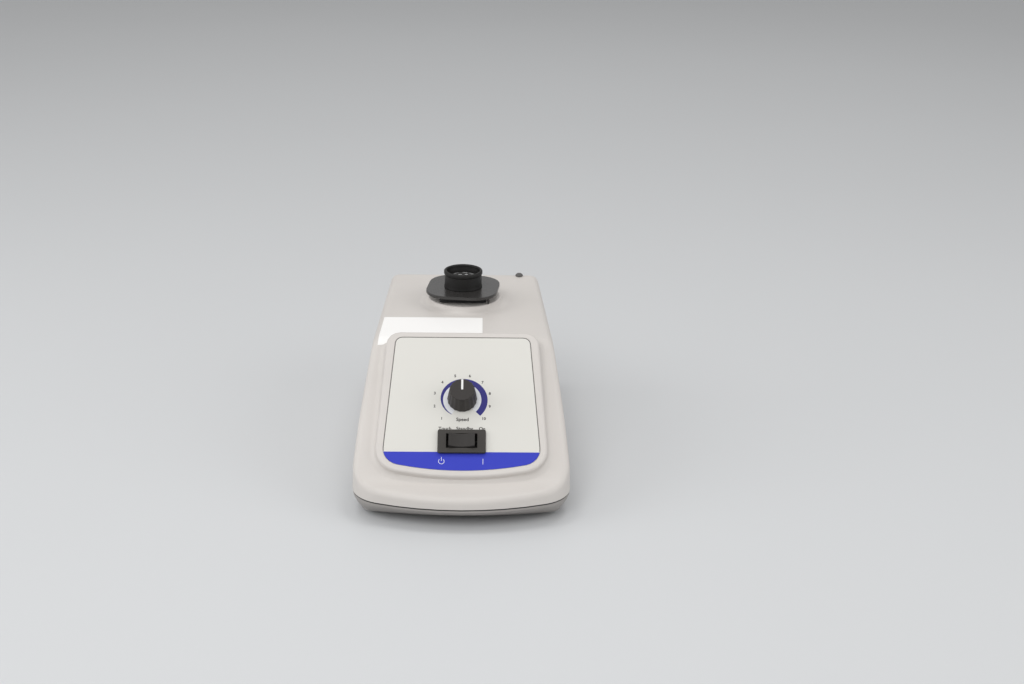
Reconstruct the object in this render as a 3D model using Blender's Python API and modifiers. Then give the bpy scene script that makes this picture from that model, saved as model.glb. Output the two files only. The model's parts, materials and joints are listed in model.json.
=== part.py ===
"""Bench-top vortex mixer with a microplate head, piece by piece.

A wedge-shaped moulded housing stands on a tapered base pan. A motor under the
deck turns an eccentric hub, whose crank stub carries a drive carrier, a rounded
square platform plate and a rubber cup. Two guide pins in oversize holes keep
that head from turning, so it goes round in a small circle. The sloping panel
carries a fluted speed knob and a three-position rocker switch.

Metres, +Z up. X runs to the right, Y to the back, and the origin lies on the
bench under the middle of the mixer.
"""

from math import asin, atan2, cos, hypot, pi, radians, sin, sqrt, tan

import bmesh
import bpy
from mathutils import Matrix, Vector

# Overall sizes
LENGTH = 0.287
WIDTH = 0.161
DECK_HEIGHT = 0.103
SEAM_HEIGHT = 0.0175
FOOT_HEIGHT = 0.0048
WALL = 0.0028
GAP = 0.0003
OVERRUN = 0.001

# Housing, seen from above, at the seam
REAR_HALF_WIDTH = 0.065
WAIST_HALF_WIDTH = 0.0723
WIDEST_SETBACK = 0.0365
REAR_CORNER = 0.010
FRONT_CORNER = 0.029
FRONT_BOW = 0.175
DRAFT = radians(1.5)

# Housing, seen from the side
LEDGE_LENGTH = 0.0215
LEDGE_RISE = 0.0035
NOSE_RISE = 0.008
CREASE_LEAD = 0.01075
CREASE_RADIUS = 0.020
LEDGE_RADIUS = 0.022
EDGE_ROLL = 0.0055

# Control panel, on a raised pedestal
PANEL_RISE = 0.005
PANEL_FRONT_RISE = 0.00912
PANEL_FRONT_SETBACK = 0.02331
OVERLAY_LENGTH = 0.1135
OVERLAY_BACK_HALF = 0.053
OVERLAY_FRONT_HALF = 0.0588
OVERLAY_BACK_CORNER = 0.0055
OVERLAY_FRONT_CORNER = 0.0135
OVERLAY_BOW = 0.235
OVERLAY_BOW_SLOPE = 0.2
OVERLAY_THICKNESS = 0.0005
PEDESTAL_MARGIN = 0.0052
PEDESTAL_ROLL = 0.0022
PEDESTAL_FLARE = 0.006
PEDESTAL_SINK = 0.00015
FLARE_SHARE = 0.8

# Boss and its opening
BOSS_SETBACK = 0.0755
BOSS_FOOT_RADIUS = 0.0384
BOSS_CREST_RADIUS = 0.0301
BOSS_ROLL = 0.0012
BOSS_OPENING_RADIUS = 0.0170
BOSS_HEIGHT = 0.0053

# Base pan
PAN_REVEAL = 0.0004
PAN_SIDE_INSET = 0.0065
PAN_REAR_INSET = 0.008
PAN_FRONT_INSET = 0.0165
PAN_FRONT_CORNER = 0.010
PAN_FRONT_BOW = 0.30
PAN_BAND = 0.0022
PAN_EDGE = 0.0015
PAN_TUCK_SHARE = 0.88
PAN_TUCK_POWER = 1.35
PAN_FLOOR = 0.003
LIP_WALL = 0.0016
LIP_HEIGHT = 0.0025
LIP_CLEARANCE = 0.0006
VENT_WIDTH = 0.0025
VENT_LENGTH = 0.022
VENT_PITCH = 0.005
VENT_COUNT = 4

# Feet, each held by a screw that goes up into a post of the housing
FOOT_RADIUS = 0.008
FOOT_SOLE_RADIUS = 0.0072
FOOT_SEAT_DEPTH = 0.0012
FOOT_WEB = 0.0034
FOOT_FRONT_INSET = 0.0265
FOOT_FRONT_SETBACK = 0.0415
FOOT_REAR_INSET = 0.020
FOOT_REAR_SETBACK = 0.021
POST_RADIUS = 0.0042
POST_STEP = 0.0005
POST_LIFT = 0.0044
PAN_BOSS_RADIUS = 0.0055
BASE_SCREW_RADIUS = 0.0017
BASE_SCREW_HEAD_RADIUS = 0.0031
BASE_SCREW_HEAD_HEIGHT = 0.0018
BASE_SCREW_REACH = 0.0095

# Drive: one axis for the motor, one for the crank
ECCENTRICITY = 0.0018
CRANK_TURN = radians(60)
SHAFT_RADIUS = 0.004
SHAFT_END = 0.001
SHAFT_SINK = 0.002
HUB_RADIUS = 0.011
HUB_HEIGHT = 0.0095
HUB_DROP = 0.006
STUB_RADIUS = 0.0034
COUNTERWEIGHT_RADIUS = 0.026
COUNTERWEIGHT_LIFT = 0.0015
COUNTERWEIGHT_HEIGHT = 0.006
COUNTERWEIGHT_RIM = 0.003

# Head
CARRIER_HUB_RADIUS = 0.0142
CARRIER_DROP = 0.007
SKIRT_SIDE = 0.038
SKIRT_CORNER = 0.003
SKIRT_CLEARANCE = 0.0006
PLATE_SIDE = 0.058
PLATE_CORNER = 0.0195
PLATE_RISE = 0.0059
PLATE_THICKNESS = 0.0025
PLATE_TURN = radians(-7)
PLATE_POST_X = 0.0207
PLATE_POST_Y = 0.0200
PLATE_POST_RADIUS = 0.001
CUP_HEIGHT = 0.0138
CUP_WALL_RADIUS = 0.0151
CUP_BEAD_RADIUS = 0.0157
CUP_CREST_RADIUS = 0.0149
CUP_MOUTH_RADIUS = 0.0134
CUP_BORE_RADIUS = 0.0127
CUP_BEAD_DROP = 0.0027
CUP_FLOOR = 0.0038
CUP_WEB = 0.0012
DISH_RIM_HEIGHT = 0.0036
DISH_DEPTH = 0.0024
DISH_LIP = 0.0007
HEAD_SCREW_RADIUS = 0.002
HEAD_SCREW_HEAD_RADIUS = 0.0036
HEAD_SCREW_HEAD_HEIGHT = 0.0021
HEAD_SCREW_REACH = 0.0105
CARRIER_BEARING_OUTER = 0.0095
CARRIER_BEARING_HEIGHT = 0.006
CARRIER_BEARING_SEAT = 0.0012
BEARING_OUTER = 0.011
BEARING_HEIGHT = 0.007

# Guide pins and the plate whose oversize holes they run in
PIN_RADIUS = 0.001
PIN_CIRCLE = 0.012
PIN_RECESS = 0.0008
PIN_SOCKET = 0.006
PIN_COUNT = 2
PIN_CLEARANCE = 0.00045
GUIDE_DROP = 0.0045
GUIDE_THICKNESS = 0.0032
GUIDE_CENTRE_RADIUS = 0.0065
GUIDE_LEG_RADIUS = 0.005

# Motor
MOUNT_SIDE = 0.096
MOUNT_DROP = 0.027
MOUNT_THICKNESS = 0.003
MOUNT_CORNER = 0.008
MOUNT_HOLE = 0.014
COLUMN_RADIUS = 0.0045
COLUMN_SPREAD = 0.041
COLUMN_STUD_RADIUS = 0.002
COLUMN_STUD_SINK = 0.0019
MOUNT_SCREW_REACH = 0.008
STATOR_SIDE = 0.074
STATOR_CORNER = 0.012
STATOR_LIFT = 0.009
STATOR_DROP = 0.0092
STATOR_BORE = 0.0225
SLOT_COUNT = 8
SLOT_WIDTH = 0.005
SLOT_DEPTH = 0.006
COIL_RADIUS = 0.0295
COIL_THICKNESS = 0.0055
ROTOR_RADIUS = 0.0217
ROTOR_OVERHANG = 0.0015
BRACKET_THICKNESS = 0.003
BRACKET_ARM = 0.013
BRACKET_HUB_RADIUS = 0.013
BRACKET_HUB_HEIGHT = 0.009
LOWER_BRACKET_LIFT = 0.004
BOLT_RADIUS = 0.002
BOLT_SPREAD = 0.031
BOLT_HEAD_RADIUS = 0.0036
BOLT_HEAD_HEIGHT = 0.0028
FAN_RADIUS = 0.030
FAN_HUB_RADIUS = 0.009
FAN_LIFT = 0.0024
FAN_HEIGHT = 0.008
FAN_BLADES = 7
FAN_BLADE_THICKNESS = 0.0012
FAN_PITCH = radians(38)
BLADE_ROOT_SHARE = 0.7

# Ballast
BALLAST_WIDTH = 0.098
BALLAST_LENGTH = 0.100
BALLAST_SETBACK = 0.0275
BALLAST_THICKNESS = 0.010
BALLAST_CORNER = 0.004

# Speed control
DIAL_DROP = 0.054
KNOB_BASE_RADIUS = 0.0112
KNOB_TOP_RADIUS = 0.0095
KNOB_HEIGHT = 0.014
KNOB_LIFT = 0.0008
KNOB_FLUTES = 18
KNOB_FLUTE_DEPTH = 0.00045
KNOB_BEVEL = 0.0009
KNOB_SOCKET_RADIUS = 0.0075
KNOB_SOCKET_DEPTH = 0.0045
KNOB_TOP_WALL = 0.003
POINTER_WIDTH = 0.0015
POINTER_DEPTH = 0.0007
POINTER_FIT = 0.0001
POT_BODY_RADIUS = 0.0085
POT_BODY_HEIGHT = 0.009
POT_BUSHING_RADIUS = 0.0047
POT_BUSHING_RISE = 0.0028
POT_SHAFT_RADIUS = 0.003
POT_NUT_RADIUS = 0.0068
POT_NUT_HEIGHT = 0.002

# Rocker switch
SWITCH_DROP = 0.0904
SWITCH_FRAME_LENGTH = 0.0355
SWITCH_FRAME_WIDTH = 0.0195
SWITCH_FRAME_HEIGHT = 0.003
SWITCH_FRAME_BEVEL = 0.0012
SWITCH_BODY_LENGTH = 0.0325
SWITCH_BODY_WIDTH = 0.0165
SWITCH_BODY_DEPTH = 0.0185
SWITCH_WELL_LENGTH = 0.023
SWITCH_WELL_WIDTH = 0.012
SWITCH_WELL_DEPTH = 0.0085
ROCKER_LENGTH = 0.0192
ROCKER_WIDTH = 0.0108
ROCKER_END_RISE = 0.003
ROCKER_HOLLOW = 0.0025
ROCKER_PIVOT_DROP = 0.0012
ROCKER_BELLY = 0.0040
ROCKER_BEVEL = 0.0006
TERMINAL_WIDTH = 0.0048
TERMINAL_THICKNESS = 0.0008
TERMINAL_LENGTH = 0.008
TERMINAL_PITCH = 0.0095
TERMINAL_COUNT = 3

# Power inlet in the rear wall
INLET_X = -0.022
INLET_RISE = 0.0285
INLET_POCKET = 0.0015
INLET_FLANGE_WIDTH = 0.0312
INLET_FLANGE_HEIGHT = 0.0245
INLET_FLANGE_THICKNESS = 0.0016
INLET_FLANGE_CORNER = 0.002
INLET_BODY_WIDTH = 0.0272
INLET_BODY_HEIGHT = 0.0200
INLET_BODY_DEPTH = 0.0215
INLET_SOCKET_WIDTH = 0.0236
INLET_SOCKET_HEIGHT = 0.0162
INLET_SOCKET_DEPTH = 0.0165
INLET_SOCKET_CHAMFER = 0.0042
INLET_PIN_SPREAD = 0.007
INLET_PIN_RISE = 0.002
INLET_PIN_WIDTH = 0.002
INLET_PIN_HEIGHT = 0.004
INLET_PIN_LENGTH = 0.0145

# Plug in the deck
PLUG_INSET = 0.0183
PLUG_SETBACK = 0.009
PLUG_RADIUS = 0.0033
PLUG_HEIGHT = 0.0028
PLUG_RIBS = 8
PLUG_RIB_DEPTH = 0.0005
PLUG_STEM_RADIUS = 0.0024
PLUG_STEM_LENGTH = 0.006

# Control board
BOARD_LENGTH = 0.052
BOARD_WIDTH = 0.064
BOARD_THICKNESS = 0.0016
BOARD_GAP = 0.030
BOARD_LIFT = 0.006
BOARD_BOSS_RADIUS = 0.0032
BOARD_BOSS_INSET = 0.005
BOARD_SCREW_RADIUS = 0.0013
BOARD_SCREW_HEAD = 0.0024
BOARD_SCREW_HEAD_HEIGHT = 0.0016
BOARD_SCREW_REACH = 0.0055
HEATSINK_LENGTH = 0.022
HEATSINK_BASE = 0.002
HEATSINK_FIN = 0.0012
HEATSINK_PITCH = 0.0036
HEATSINK_FINS = 5
HEATSINK_HEIGHT = 0.016

# How finely round things are drawn
ROUND_STEPS = 18
PLAIN_STEPS = 12
SMALL_STEPS = 8
SCREW_STEPS = 6
FACING_STEPS = 36
EDGE_STEPS = 4
BOW_STEPS = 12
REAR_PANES = 3
SIDE_PANES = 6
BISECTIONS = 30
MERGE = 0.00005
SHARP_ANGLE = radians(32)
CORNER_NAMES = ("rear_right", "rear_left", "front_left", "front_right")

# Worked out from the sizes above: the housing and its panel
REAR_Y = LENGTH / 2
FRONT_Y = -LENGTH / 2
SEAM_TOP = SEAM_HEIGHT + GAP / 2
SEAM_BOTTOM = SEAM_HEIGHT - GAP / 2
NOSE_HEIGHT = SEAM_HEIGHT + NOSE_RISE
LEDGE_HEIGHT = NOSE_HEIGHT + LEDGE_RISE
DECK_UNDERSIDE = DECK_HEIGHT - WALL
PANEL_TOP_HEIGHT = DECK_HEIGHT + PANEL_RISE
PANEL_SLOPE = asin((PANEL_TOP_HEIGHT - LEDGE_HEIGHT - PANEL_FRONT_RISE) / OVERLAY_LENGTH)
PANEL_TOP_Y = FRONT_Y + PANEL_FRONT_SETBACK + OVERLAY_LENGTH * cos(PANEL_SLOPE)
WAIST_Y = PANEL_TOP_Y + CREASE_LEAD
WIDEST_Y = FRONT_Y + WIDEST_SETBACK
BOSS_Y = REAR_Y - BOSS_SETBACK
BOSS_TOP = DECK_HEIGHT + BOSS_HEIGHT

# The pan, and what stands on its floor
PAN_INNER_FLOOR = FOOT_HEIGHT + PAN_FLOOR
POST_BOTTOM = PAN_INNER_FLOOR + POST_LIFT
FOOT_FRONT_X = WIDTH / 2 - FOOT_FRONT_INSET
FOOT_FRONT_Y = FRONT_Y + FOOT_FRONT_SETBACK
FOOT_REAR_X = REAR_HALF_WIDTH - FOOT_REAR_INSET
FOOT_REAR_Y = REAR_Y - FOOT_REAR_SETBACK
BALLAST_REAR_Y = REAR_Y - BALLAST_SETBACK
BALLAST_FRONT_Y = BALLAST_REAR_Y - BALLAST_LENGTH
BALLAST_BOTTOM = PAN_INNER_FLOOR + GAP
BALLAST_TOP = BALLAST_BOTTOM + BALLAST_THICKNESS
BOARD_Y = BALLAST_FRONT_Y - BOARD_GAP - BOARD_LENGTH / 2
BOARD_BOTTOM = PAN_INNER_FLOOR + BOARD_LIFT
BOARD_TOP = BOARD_BOTTOM + BOARD_THICKNESS

# The head, and the drive that hangs under it, from the deck down
MOTOR_AXIS = Vector((0, BOSS_Y, 0))
CRANK_AXIS = MOTOR_AXIS + Matrix.Rotation(CRANK_TURN, 3, "Z") @ Vector((-ECCENTRICITY, 0, 0))
SKIRT_BOTTOM = BOSS_TOP + SKIRT_CLEARANCE
PLATE_BOTTOM = BOSS_TOP + PLATE_RISE
PLATE_TOP = PLATE_BOTTOM + PLATE_THICKNESS
CUP_BOTTOM = PLATE_TOP + GAP
CUP_TOP = CUP_BOTTOM + CUP_HEIGHT
CARRIER_BOTTOM = DECK_HEIGHT - CARRIER_DROP
STUB_TOP = CARRIER_BOTTOM + CARRIER_BEARING_SEAT + CARRIER_BEARING_HEIGHT - GAP
GUIDE_BOTTOM = CARRIER_BOTTOM - GUIDE_DROP
GUIDE_TOP = GUIDE_BOTTOM + GUIDE_THICKNESS
PIN_BOTTOM = GUIDE_BOTTOM + PIN_RECESS
HUB_TOP = CARRIER_BOTTOM - HUB_DROP
HUB_BOTTOM = HUB_TOP - HUB_HEIGHT
COUNTERWEIGHT_BOTTOM = HUB_BOTTOM + COUNTERWEIGHT_LIFT
MOUNT_BOTTOM = DECK_HEIGHT - MOUNT_DROP
MOUNT_TOP = MOUNT_BOTTOM + MOUNT_THICKNESS
UPPER_BRACKET_BOTTOM = MOUNT_BOTTOM - GAP - BRACKET_THICKNESS

# The motor's lower end, from the ballast up
FAN_BOTTOM = BALLAST_TOP + FAN_LIFT
SHAFT_BOTTOM = FAN_BOTTOM - SHAFT_END
SHAFT_TOP = HUB_TOP - SHAFT_SINK
LOWER_BRACKET_BOTTOM = FAN_BOTTOM + FAN_HEIGHT + LOWER_BRACKET_LIFT
STATOR_BOTTOM = LOWER_BRACKET_BOTTOM + BRACKET_THICKNESS + STATOR_LIFT
STATOR_TOP = UPPER_BRACKET_BOTTOM - STATOR_DROP

# The inlet and the plug
INLET_HEIGHT = SEAM_HEIGHT + INLET_RISE
PLUG_X = REAR_HALF_WIDTH - PLUG_INSET
PLUG_Y = REAR_Y - PLUG_SETBACK

# Colour, roughness and metallic value of each finish
FINISHES = {
    "housing_plastic": ((0.63, 0.62, 0.60), 0.45, 0.0),
    "pan_paint": ((0.30, 0.31, 0.32), 0.5, 0.0),
    "overlay_film": ((0.72, 0.71, 0.69), 0.35, 0.0),
    "black_plastic": ((0.035, 0.035, 0.038), 0.4, 0.0),
    "black_rubber": ((0.03, 0.03, 0.032), 0.55, 0.0),
    "pointer_white": ((0.8, 0.8, 0.78), 0.5, 0.0),
    "steel": ((0.55, 0.56, 0.58), 0.35, 1.0),
    "cast_aluminium": ((0.6, 0.61, 0.62), 0.45, 1.0),
    "electrical_steel": ((0.28, 0.29, 0.31), 0.5, 1.0),
    "copper": ((0.72, 0.38, 0.22), 0.35, 1.0),
    "brass": ((0.75, 0.6, 0.32), 0.35, 1.0),
    "circuit_board": ((0.04, 0.18, 0.08), 0.45, 0.0),
}

PARTS = bpy.data.collections.new("microplate_vortex_mixer")
CUTTERS = bpy.data.collections.new("cutters")


def clear_scene():
    """Empty the file of its objects and link the two collections."""
    for item in list(bpy.data.objects):
        bpy.data.objects.remove(item, do_unlink=True)
    bpy.context.scene.collection.children.link(PARTS)
    bpy.context.scene.collection.children.link(CUTTERS)


def finish_material(node_name, finish):
    """The node's own Principled material in one of the named finishes."""
    colour, roughness, metallic = FINISHES[finish]
    material = bpy.data.materials.new(f"{node_name}_{finish}")
    material.use_nodes = True
    shader = material.node_tree.nodes["Principled BSDF"]
    shader.inputs["Base Color"].default_value = (*colour, 1)
    shader.inputs["Roughness"].default_value = roughness
    shader.inputs["Metallic"].default_value = metallic
    return material


def part(name, mesh, finish, parent=None, place=(0, 0, 0), turn=(0, 0, 0)):
    """A named piece of the mixer."""
    mesh.materials.append(finish_material(name, finish))
    piece = bpy.data.objects.new(name, mesh)
    piece.location = place
    piece.rotation_euler = turn
    piece.parent = parent
    PARTS.objects.link(piece)
    return piece


def tool(name, mesh, parent=None, place=(0, 0, 0), turn=(0, 0, 0)):
    """A guide body that other pieces are cut or joined with."""
    guide = bpy.data.objects.new(name, mesh)
    guide.location = place
    guide.rotation_euler = turn
    guide.parent = parent
    guide.hide_render = True
    guide.display_type = "WIRE"
    CUTTERS.objects.link(guide)
    return guide


def empty(name, place, turn=(0, 0, 0), parent=None):
    """A bare axis that pieces hang on."""
    axis = bpy.data.objects.new(name, None)
    axis.location = place
    axis.rotation_euler = turn
    axis.parent = parent
    axis.empty_display_size = WALL
    PARTS.objects.link(axis)
    return axis


def combine(piece, guide, operation="DIFFERENCE"):
    """Cut a guide out of a piece, or join or intersect the two."""
    step = piece.modifiers.new(guide.name, "BOOLEAN")
    step.operation = operation
    step.solver = "EXACT"
    step.object = guide
    return step


def bevel(piece, width, segments=2, angle=radians(40)):
    """Round a piece's sharp edges."""
    step = piece.modifiers.new("rounded_edges", "BEVEL")
    step.width = width
    step.segments = segments
    step.limit_method = "ANGLE"
    step.angle_limit = angle
    return step


def finished_mesh(shape, name):
    """A mesh from a bmesh, which is freed."""
    mesh = bpy.data.meshes.new(name)
    bmesh.ops.recalc_face_normals(shape, faces=shape.faces)
    shape.to_mesh(mesh)
    shape.free()
    return mesh


def add_rod(shape, radius, bottom, top, at=(0, 0), steps=ROUND_STEPS):
    """Add an upright rod, or a prism of few steps, to a bmesh."""
    middle = Matrix.Translation((at[0], at[1], (bottom + top) / 2))
    bmesh.ops.create_cone(
        shape,
        cap_ends=True,
        segments=steps,
        radius1=radius,
        radius2=radius,
        depth=top - bottom,
        matrix=middle,
    )


def rods_mesh(name, radius, bottom, top, places, steps=SMALL_STEPS):
    """Like rods at several places."""
    shape = bmesh.new()
    for place in places:
        add_rod(shape, radius, bottom, top, place, steps)
    return finished_mesh(shape, name)


def rod_mesh(name, radius, bottom, top, steps=ROUND_STEPS):
    """A single upright rod about its object's origin."""
    return rods_mesh(name, radius, bottom, top, [(0, 0)], steps)


def add_block(shape, low, high, frame=None):
    """Add a box between two corners to a bmesh, in a frame of its own if one is given."""
    low, high = Vector(low), Vector(high)
    placed = Matrix.Translation((low + high) / 2) @ Matrix.Diagonal((*(high - low), 1))
    bmesh.ops.create_cube(shape, size=1, matrix=frame @ placed if frame else placed)


def block_mesh(name, low, high):
    """A single box between two corners."""
    shape = bmesh.new()
    add_block(shape, low, high)
    return finished_mesh(shape, name)


def turned(name, profile, steps, finish=None, closed=False, **where):
    """A body turned about Z from (radius, height) points, down its outer side first."""
    shape = bmesh.new()
    points = [shape.verts.new((radius, 0, height)) for radius, height in profile]
    for start, end in zip(points, points[1:]):
        shape.edges.new((start, end))
    if closed:
        shape.edges.new((points[-1], points[0]))
    mesh = bpy.data.meshes.new(name)
    shape.to_mesh(mesh)
    shape.free()
    piece = part(name, mesh, finish, **where) if finish else tool(name, mesh, **where)
    sweep = piece.modifiers.new("turned", "SCREW")
    sweep.steps = steps
    sweep.render_steps = steps
    sweep.use_merge_vertices = True
    sweep.merge_threshold = MERGE
    return piece


def prism_mesh(name, outline, bottom, top):
    """A flat outline, solid between two heights."""
    curve = bpy.data.curves.new(name, "CURVE")
    curve.dimensions = "2D"
    curve.fill_mode = "BOTH"
    curve.extrude = (top - bottom) / 2
    spline = curve.splines.new("POLY")
    spline.points.add(len(outline) - 1)
    for point, (x, y) in zip(spline.points, outline):
        point.co = (x, y, 0, 1)
    spline.use_cyclic_u = True
    holder = bpy.data.objects.new(name, curve)
    CUTTERS.objects.link(holder)
    graph = bpy.context.evaluated_depsgraph_get()
    mesh = bpy.data.meshes.new_from_object(holder.evaluated_get(graph))
    bpy.data.objects.remove(holder)
    bpy.data.curves.remove(curve)
    shape = bmesh.new()
    shape.from_mesh(mesh)
    bpy.data.meshes.remove(mesh)
    bmesh.ops.remove_doubles(shape, verts=shape.verts, dist=MERGE)
    bmesh.ops.translate(shape, verts=shape.verts, vec=(0, 0, (bottom + top) / 2))
    return finished_mesh(shape, name)


def standing_mesh(name, outline, width):
    """An outline in X and height, solid for a width across it along Y."""
    mesh = prism_mesh(name, outline, -width / 2, width / 2)
    mesh.transform(Matrix.Rotation(pi / 2, 4, "X"))
    return mesh


def loft_mesh(name, rings, ladder=False):
    """A closed body skinned over rings of equal count; a ladder spans mirrored points on top."""
    shape = bmesh.new()
    loops = [[shape.verts.new(point) for point in ring] for ring in rings]
    count = len(loops[0])
    for upper, lower in zip(loops, loops[1:]):
        for index in range(count):
            after = (index + 1) % count
            shape.faces.new((upper[index], upper[after], lower[after], lower[index]))
    if ladder:
        top, half = loops[0], count // 2
        for index in range(half - 1):
            shape.faces.new((top[index], top[index + 1], top[-2 - index], top[-1 - index]))
        shape.faces.new((top[half - 1], top[half], top[half + 1]))
    else:
        shape.faces.new(loops[0])
    shape.faces.new(loops[-1])
    return finished_mesh(shape, name)


def arc(centre, radius, start, end, steps):
    """Points along an arc in a plane, both ends included."""
    angles = (start + (end - start) * step / steps for step in range(steps + 1))
    return [(centre[0] + radius * cos(angle), centre[1] + radius * sin(angle)) for angle in angles]


def rounded_corner(before, corner, after, radius, steps):
    """The arc that rounds one corner of an outline."""
    before, corner, after = Vector(before), Vector(corner), Vector(after)
    back = (before - corner).normalized()
    ahead = (after - corner).normalized()
    half = back.angle(ahead) / 2
    centre = corner + (back + ahead).normalized() * (radius / sin(half))
    start = corner + back * (radius / tan(half)) - centre
    end = corner + ahead * (radius / tan(half)) - centre
    first = atan2(start.y, start.x)
    sweep = (atan2(end.y, end.x) - first + pi) % (2 * pi) - pi
    return arc(centre, radius, first, first + sweep, steps)


def rounded_outline(corners, radii, counts):
    """A closed outline with each corner rounded in its own count of steps."""
    points = []
    for index, corner in enumerate(corners):
        after = corners[(index + 1) % len(corners)]
        points += rounded_corner(corners[index - 1], corner, after, radii[index], counts[index])
    return points


def rounded_box(width, height, corner, steps=EDGE_STEPS, middle=(0, 0)):
    """A rectangle with rounded corners."""
    places = [(x + middle[0], y + middle[1]) for x, y in four_corners(width / 2, height / 2)]
    return rounded_outline(places, [corner] * len(places), [steps] * len(places))


def grown_outline(corners, offset):
    """Corners of a convex outline moved outwards by an offset."""
    moved = []
    for index, point in enumerate(corners):
        corner = Vector(point)
        back = (Vector(corners[index - 1]) - corner).normalized()
        ahead = (Vector(corners[(index + 1) % len(corners)]) - corner).normalized()
        half = back.angle(ahead) / 2
        moved.append(corner - (back + ahead).normalized() * (offset / sin(half)))
    return moved


def ring_of(count, radius, first=0.0):
    """Evenly spaced places on a circle."""
    angles = (first + 2 * pi * index / count for index in range(count))
    return [(radius * cos(angle), radius * sin(angle)) for angle in angles]


def four_corners(x, y):
    """The four places at plus and minus x and y."""
    return [(x, y), (-x, y), (-x, -y), (x, -y)]


def screw(name, shank_radius, head_radius, seat, head_height, end, finish="steel", **where):
    """A screw: its head lies against the seat, and its shank runs from there to its end."""
    if end > seat:
        profile = [
            (0, end),
            (shank_radius, end),
            (shank_radius, seat),
            (head_radius, seat),
            (head_radius, seat - head_height),
            (0, seat - head_height),
        ]
    else:
        profile = [
            (0, seat + head_height),
            (head_radius, seat + head_height),
            (head_radius, seat),
            (shank_radius, seat),
            (shank_radius, end),
            (0, end),
        ]
    return turned(name, profile, SCREW_STEPS, finish, **where)


# The housing's skin

def side_profile():
    """The line of deck, slope and ledge, rear to front, as (y, height) points."""
    rear, crease = (REAR_Y, DECK_HEIGHT), (WAIST_Y, DECK_HEIGHT)
    ledge, nose = (FRONT_Y + LEDGE_LENGTH, LEDGE_HEIGHT), (FRONT_Y, NOSE_HEIGHT)
    points = [rear]
    points += rounded_corner(rear, crease, ledge, CREASE_RADIUS, EDGE_STEPS)
    points += rounded_corner(crease, ledge, nose, LEDGE_RADIUS, EDGE_STEPS)
    points.append(nose)
    return points


def skin_span(y):
    """The two points of the profile on either side of a place along the length."""
    for behind, ahead in zip(PROFILE, PROFILE[1:]):
        if y >= ahead[0]:
            return behind, ahead
    return PROFILE[-2], PROFILE[-1]


def skin_height(y):
    """Height of the housing's top at a place along its length."""
    (rear_y, rear_height), (front_y, front_height) = skin_span(y)
    share = min(max((rear_y - y) / (rear_y - front_y), 0), 1)
    return rear_height + (front_height - rear_height) * share


def skin_slope(y):
    """How steeply the housing's top falls towards the front there."""
    (rear_y, rear_height), (front_y, front_height) = skin_span(y)
    return atan2(rear_height - front_height, rear_y - front_y)


def half_width(y):
    """Half of the housing's width at the seam: straight sides that swell towards the front."""
    taper = (WAIST_HALF_WIDTH - REAR_HALF_WIDTH) / (REAR_Y - WAIST_Y)
    straight = WAIST_HALF_WIDTH + taper * (WAIST_Y - max(y, WIDEST_Y))
    swell = WIDTH / 2 - WAIST_HALF_WIDTH - taper * (WAIST_Y - WIDEST_Y)
    share = min(max((WAIST_Y - y) / (WAIST_Y - WIDEST_Y), 0), 1)
    return straight + swell * sin(share * pi / 2)


def front_corner_centre(widest, front_y, bow, corner):
    """Centre of the arc that joins a side to the bowed front, touching both."""
    reach = sqrt((bow - corner) ** 2 - (widest - corner) ** 2)
    return Vector((widest - corner, front_y + bow - reach))


def side_shares():
    """Where along a side the outline has points: at the crease's bends, and evenly elsewhere."""
    start = REAR_Y - REAR_CORNER
    end = front_corner_centre(WIDTH / 2, FRONT_Y, FRONT_BOW, FRONT_CORNER).y
    bends = [y for y, _ in PROFILE if end < y < start]
    behind = [start + (bends[0] - start) * step / REAR_PANES for step in range(1, REAR_PANES)]
    ahead = [bends[-1] + (end - bends[-1]) * step / SIDE_PANES for step in range(1, SIDE_PANES)]
    return [(start - y) / (start - end) for y in behind + bends + ahead]


def plan_outline(side_inset, rear_y, front_y, bow, corner):
    """An outline seen from above, down the right side, round the front and up the left side."""
    centre = front_corner_centre(WIDTH / 2 - side_inset, front_y, bow, corner)
    lean = atan2(centre.y - front_y - bow, centre.x)
    start = rear_y - REAR_CORNER
    right = arc((half_width(start) - side_inset - REAR_CORNER, start), REAR_CORNER, pi / 2, 0, EDGE_STEPS)
    for share in SIDE_SHARES:
        y = start + (centre.y - start) * share
        right.append((half_width(y) - side_inset, y))
    right += arc(centre, corner, 0, lean, 2 * EDGE_STEPS)
    right += arc((0, front_y + bow), bow, lean, -pi / 2, EDGE_STEPS)[1:]
    left = [(-x, y) for x, y in reversed(right[:-1])]
    return right + left


def outward(outline):
    """The outward direction at each point of an outline that runs clockwise."""
    directions = []
    for index, _ in enumerate(outline):
        before, after = Vector(outline[index - 1]), Vector(outline[(index + 1) % len(outline)])
        along = (after - before).normalized()
        directions.append(Vector((-along.y, along.x)))
    return directions


PROFILE = side_profile()
SIDE_SHARES = side_shares()
PLAN = plan_outline(0, REAR_Y, FRONT_Y, FRONT_BOW, FRONT_CORNER)
PLAN_OUTWARD = outward(PLAN)


def skin_rings(shrink, bottom, steps=EDGE_STEPS):
    """Rings over the housing: rolled top edge, drafted wall, down to a flat bottom."""
    roll = EDGE_ROLL - shrink
    rings = [[] for _ in range(steps + 2)]
    for point, out in zip(PLAN, PLAN_OUTWARD):
        point = Vector(point)
        lean = tan(DRAFT) * (skin_height(point.y) - SEAM_HEIGHT)
        crown = point - out * (shrink + lean + roll)
        top = skin_height(crown.y) - shrink / cos(skin_slope(crown.y))
        for step in range(steps + 1):
            angle = pi / 2 * step / steps
            place = crown + out * (roll * sin(angle))
            rings[step].append((place.x, place.y, top - roll * (1 - cos(angle))))
        foot = point - out * shrink
        rings[-1].append((foot.x, foot.y, bottom))
    return rings


# The raised panel

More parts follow.
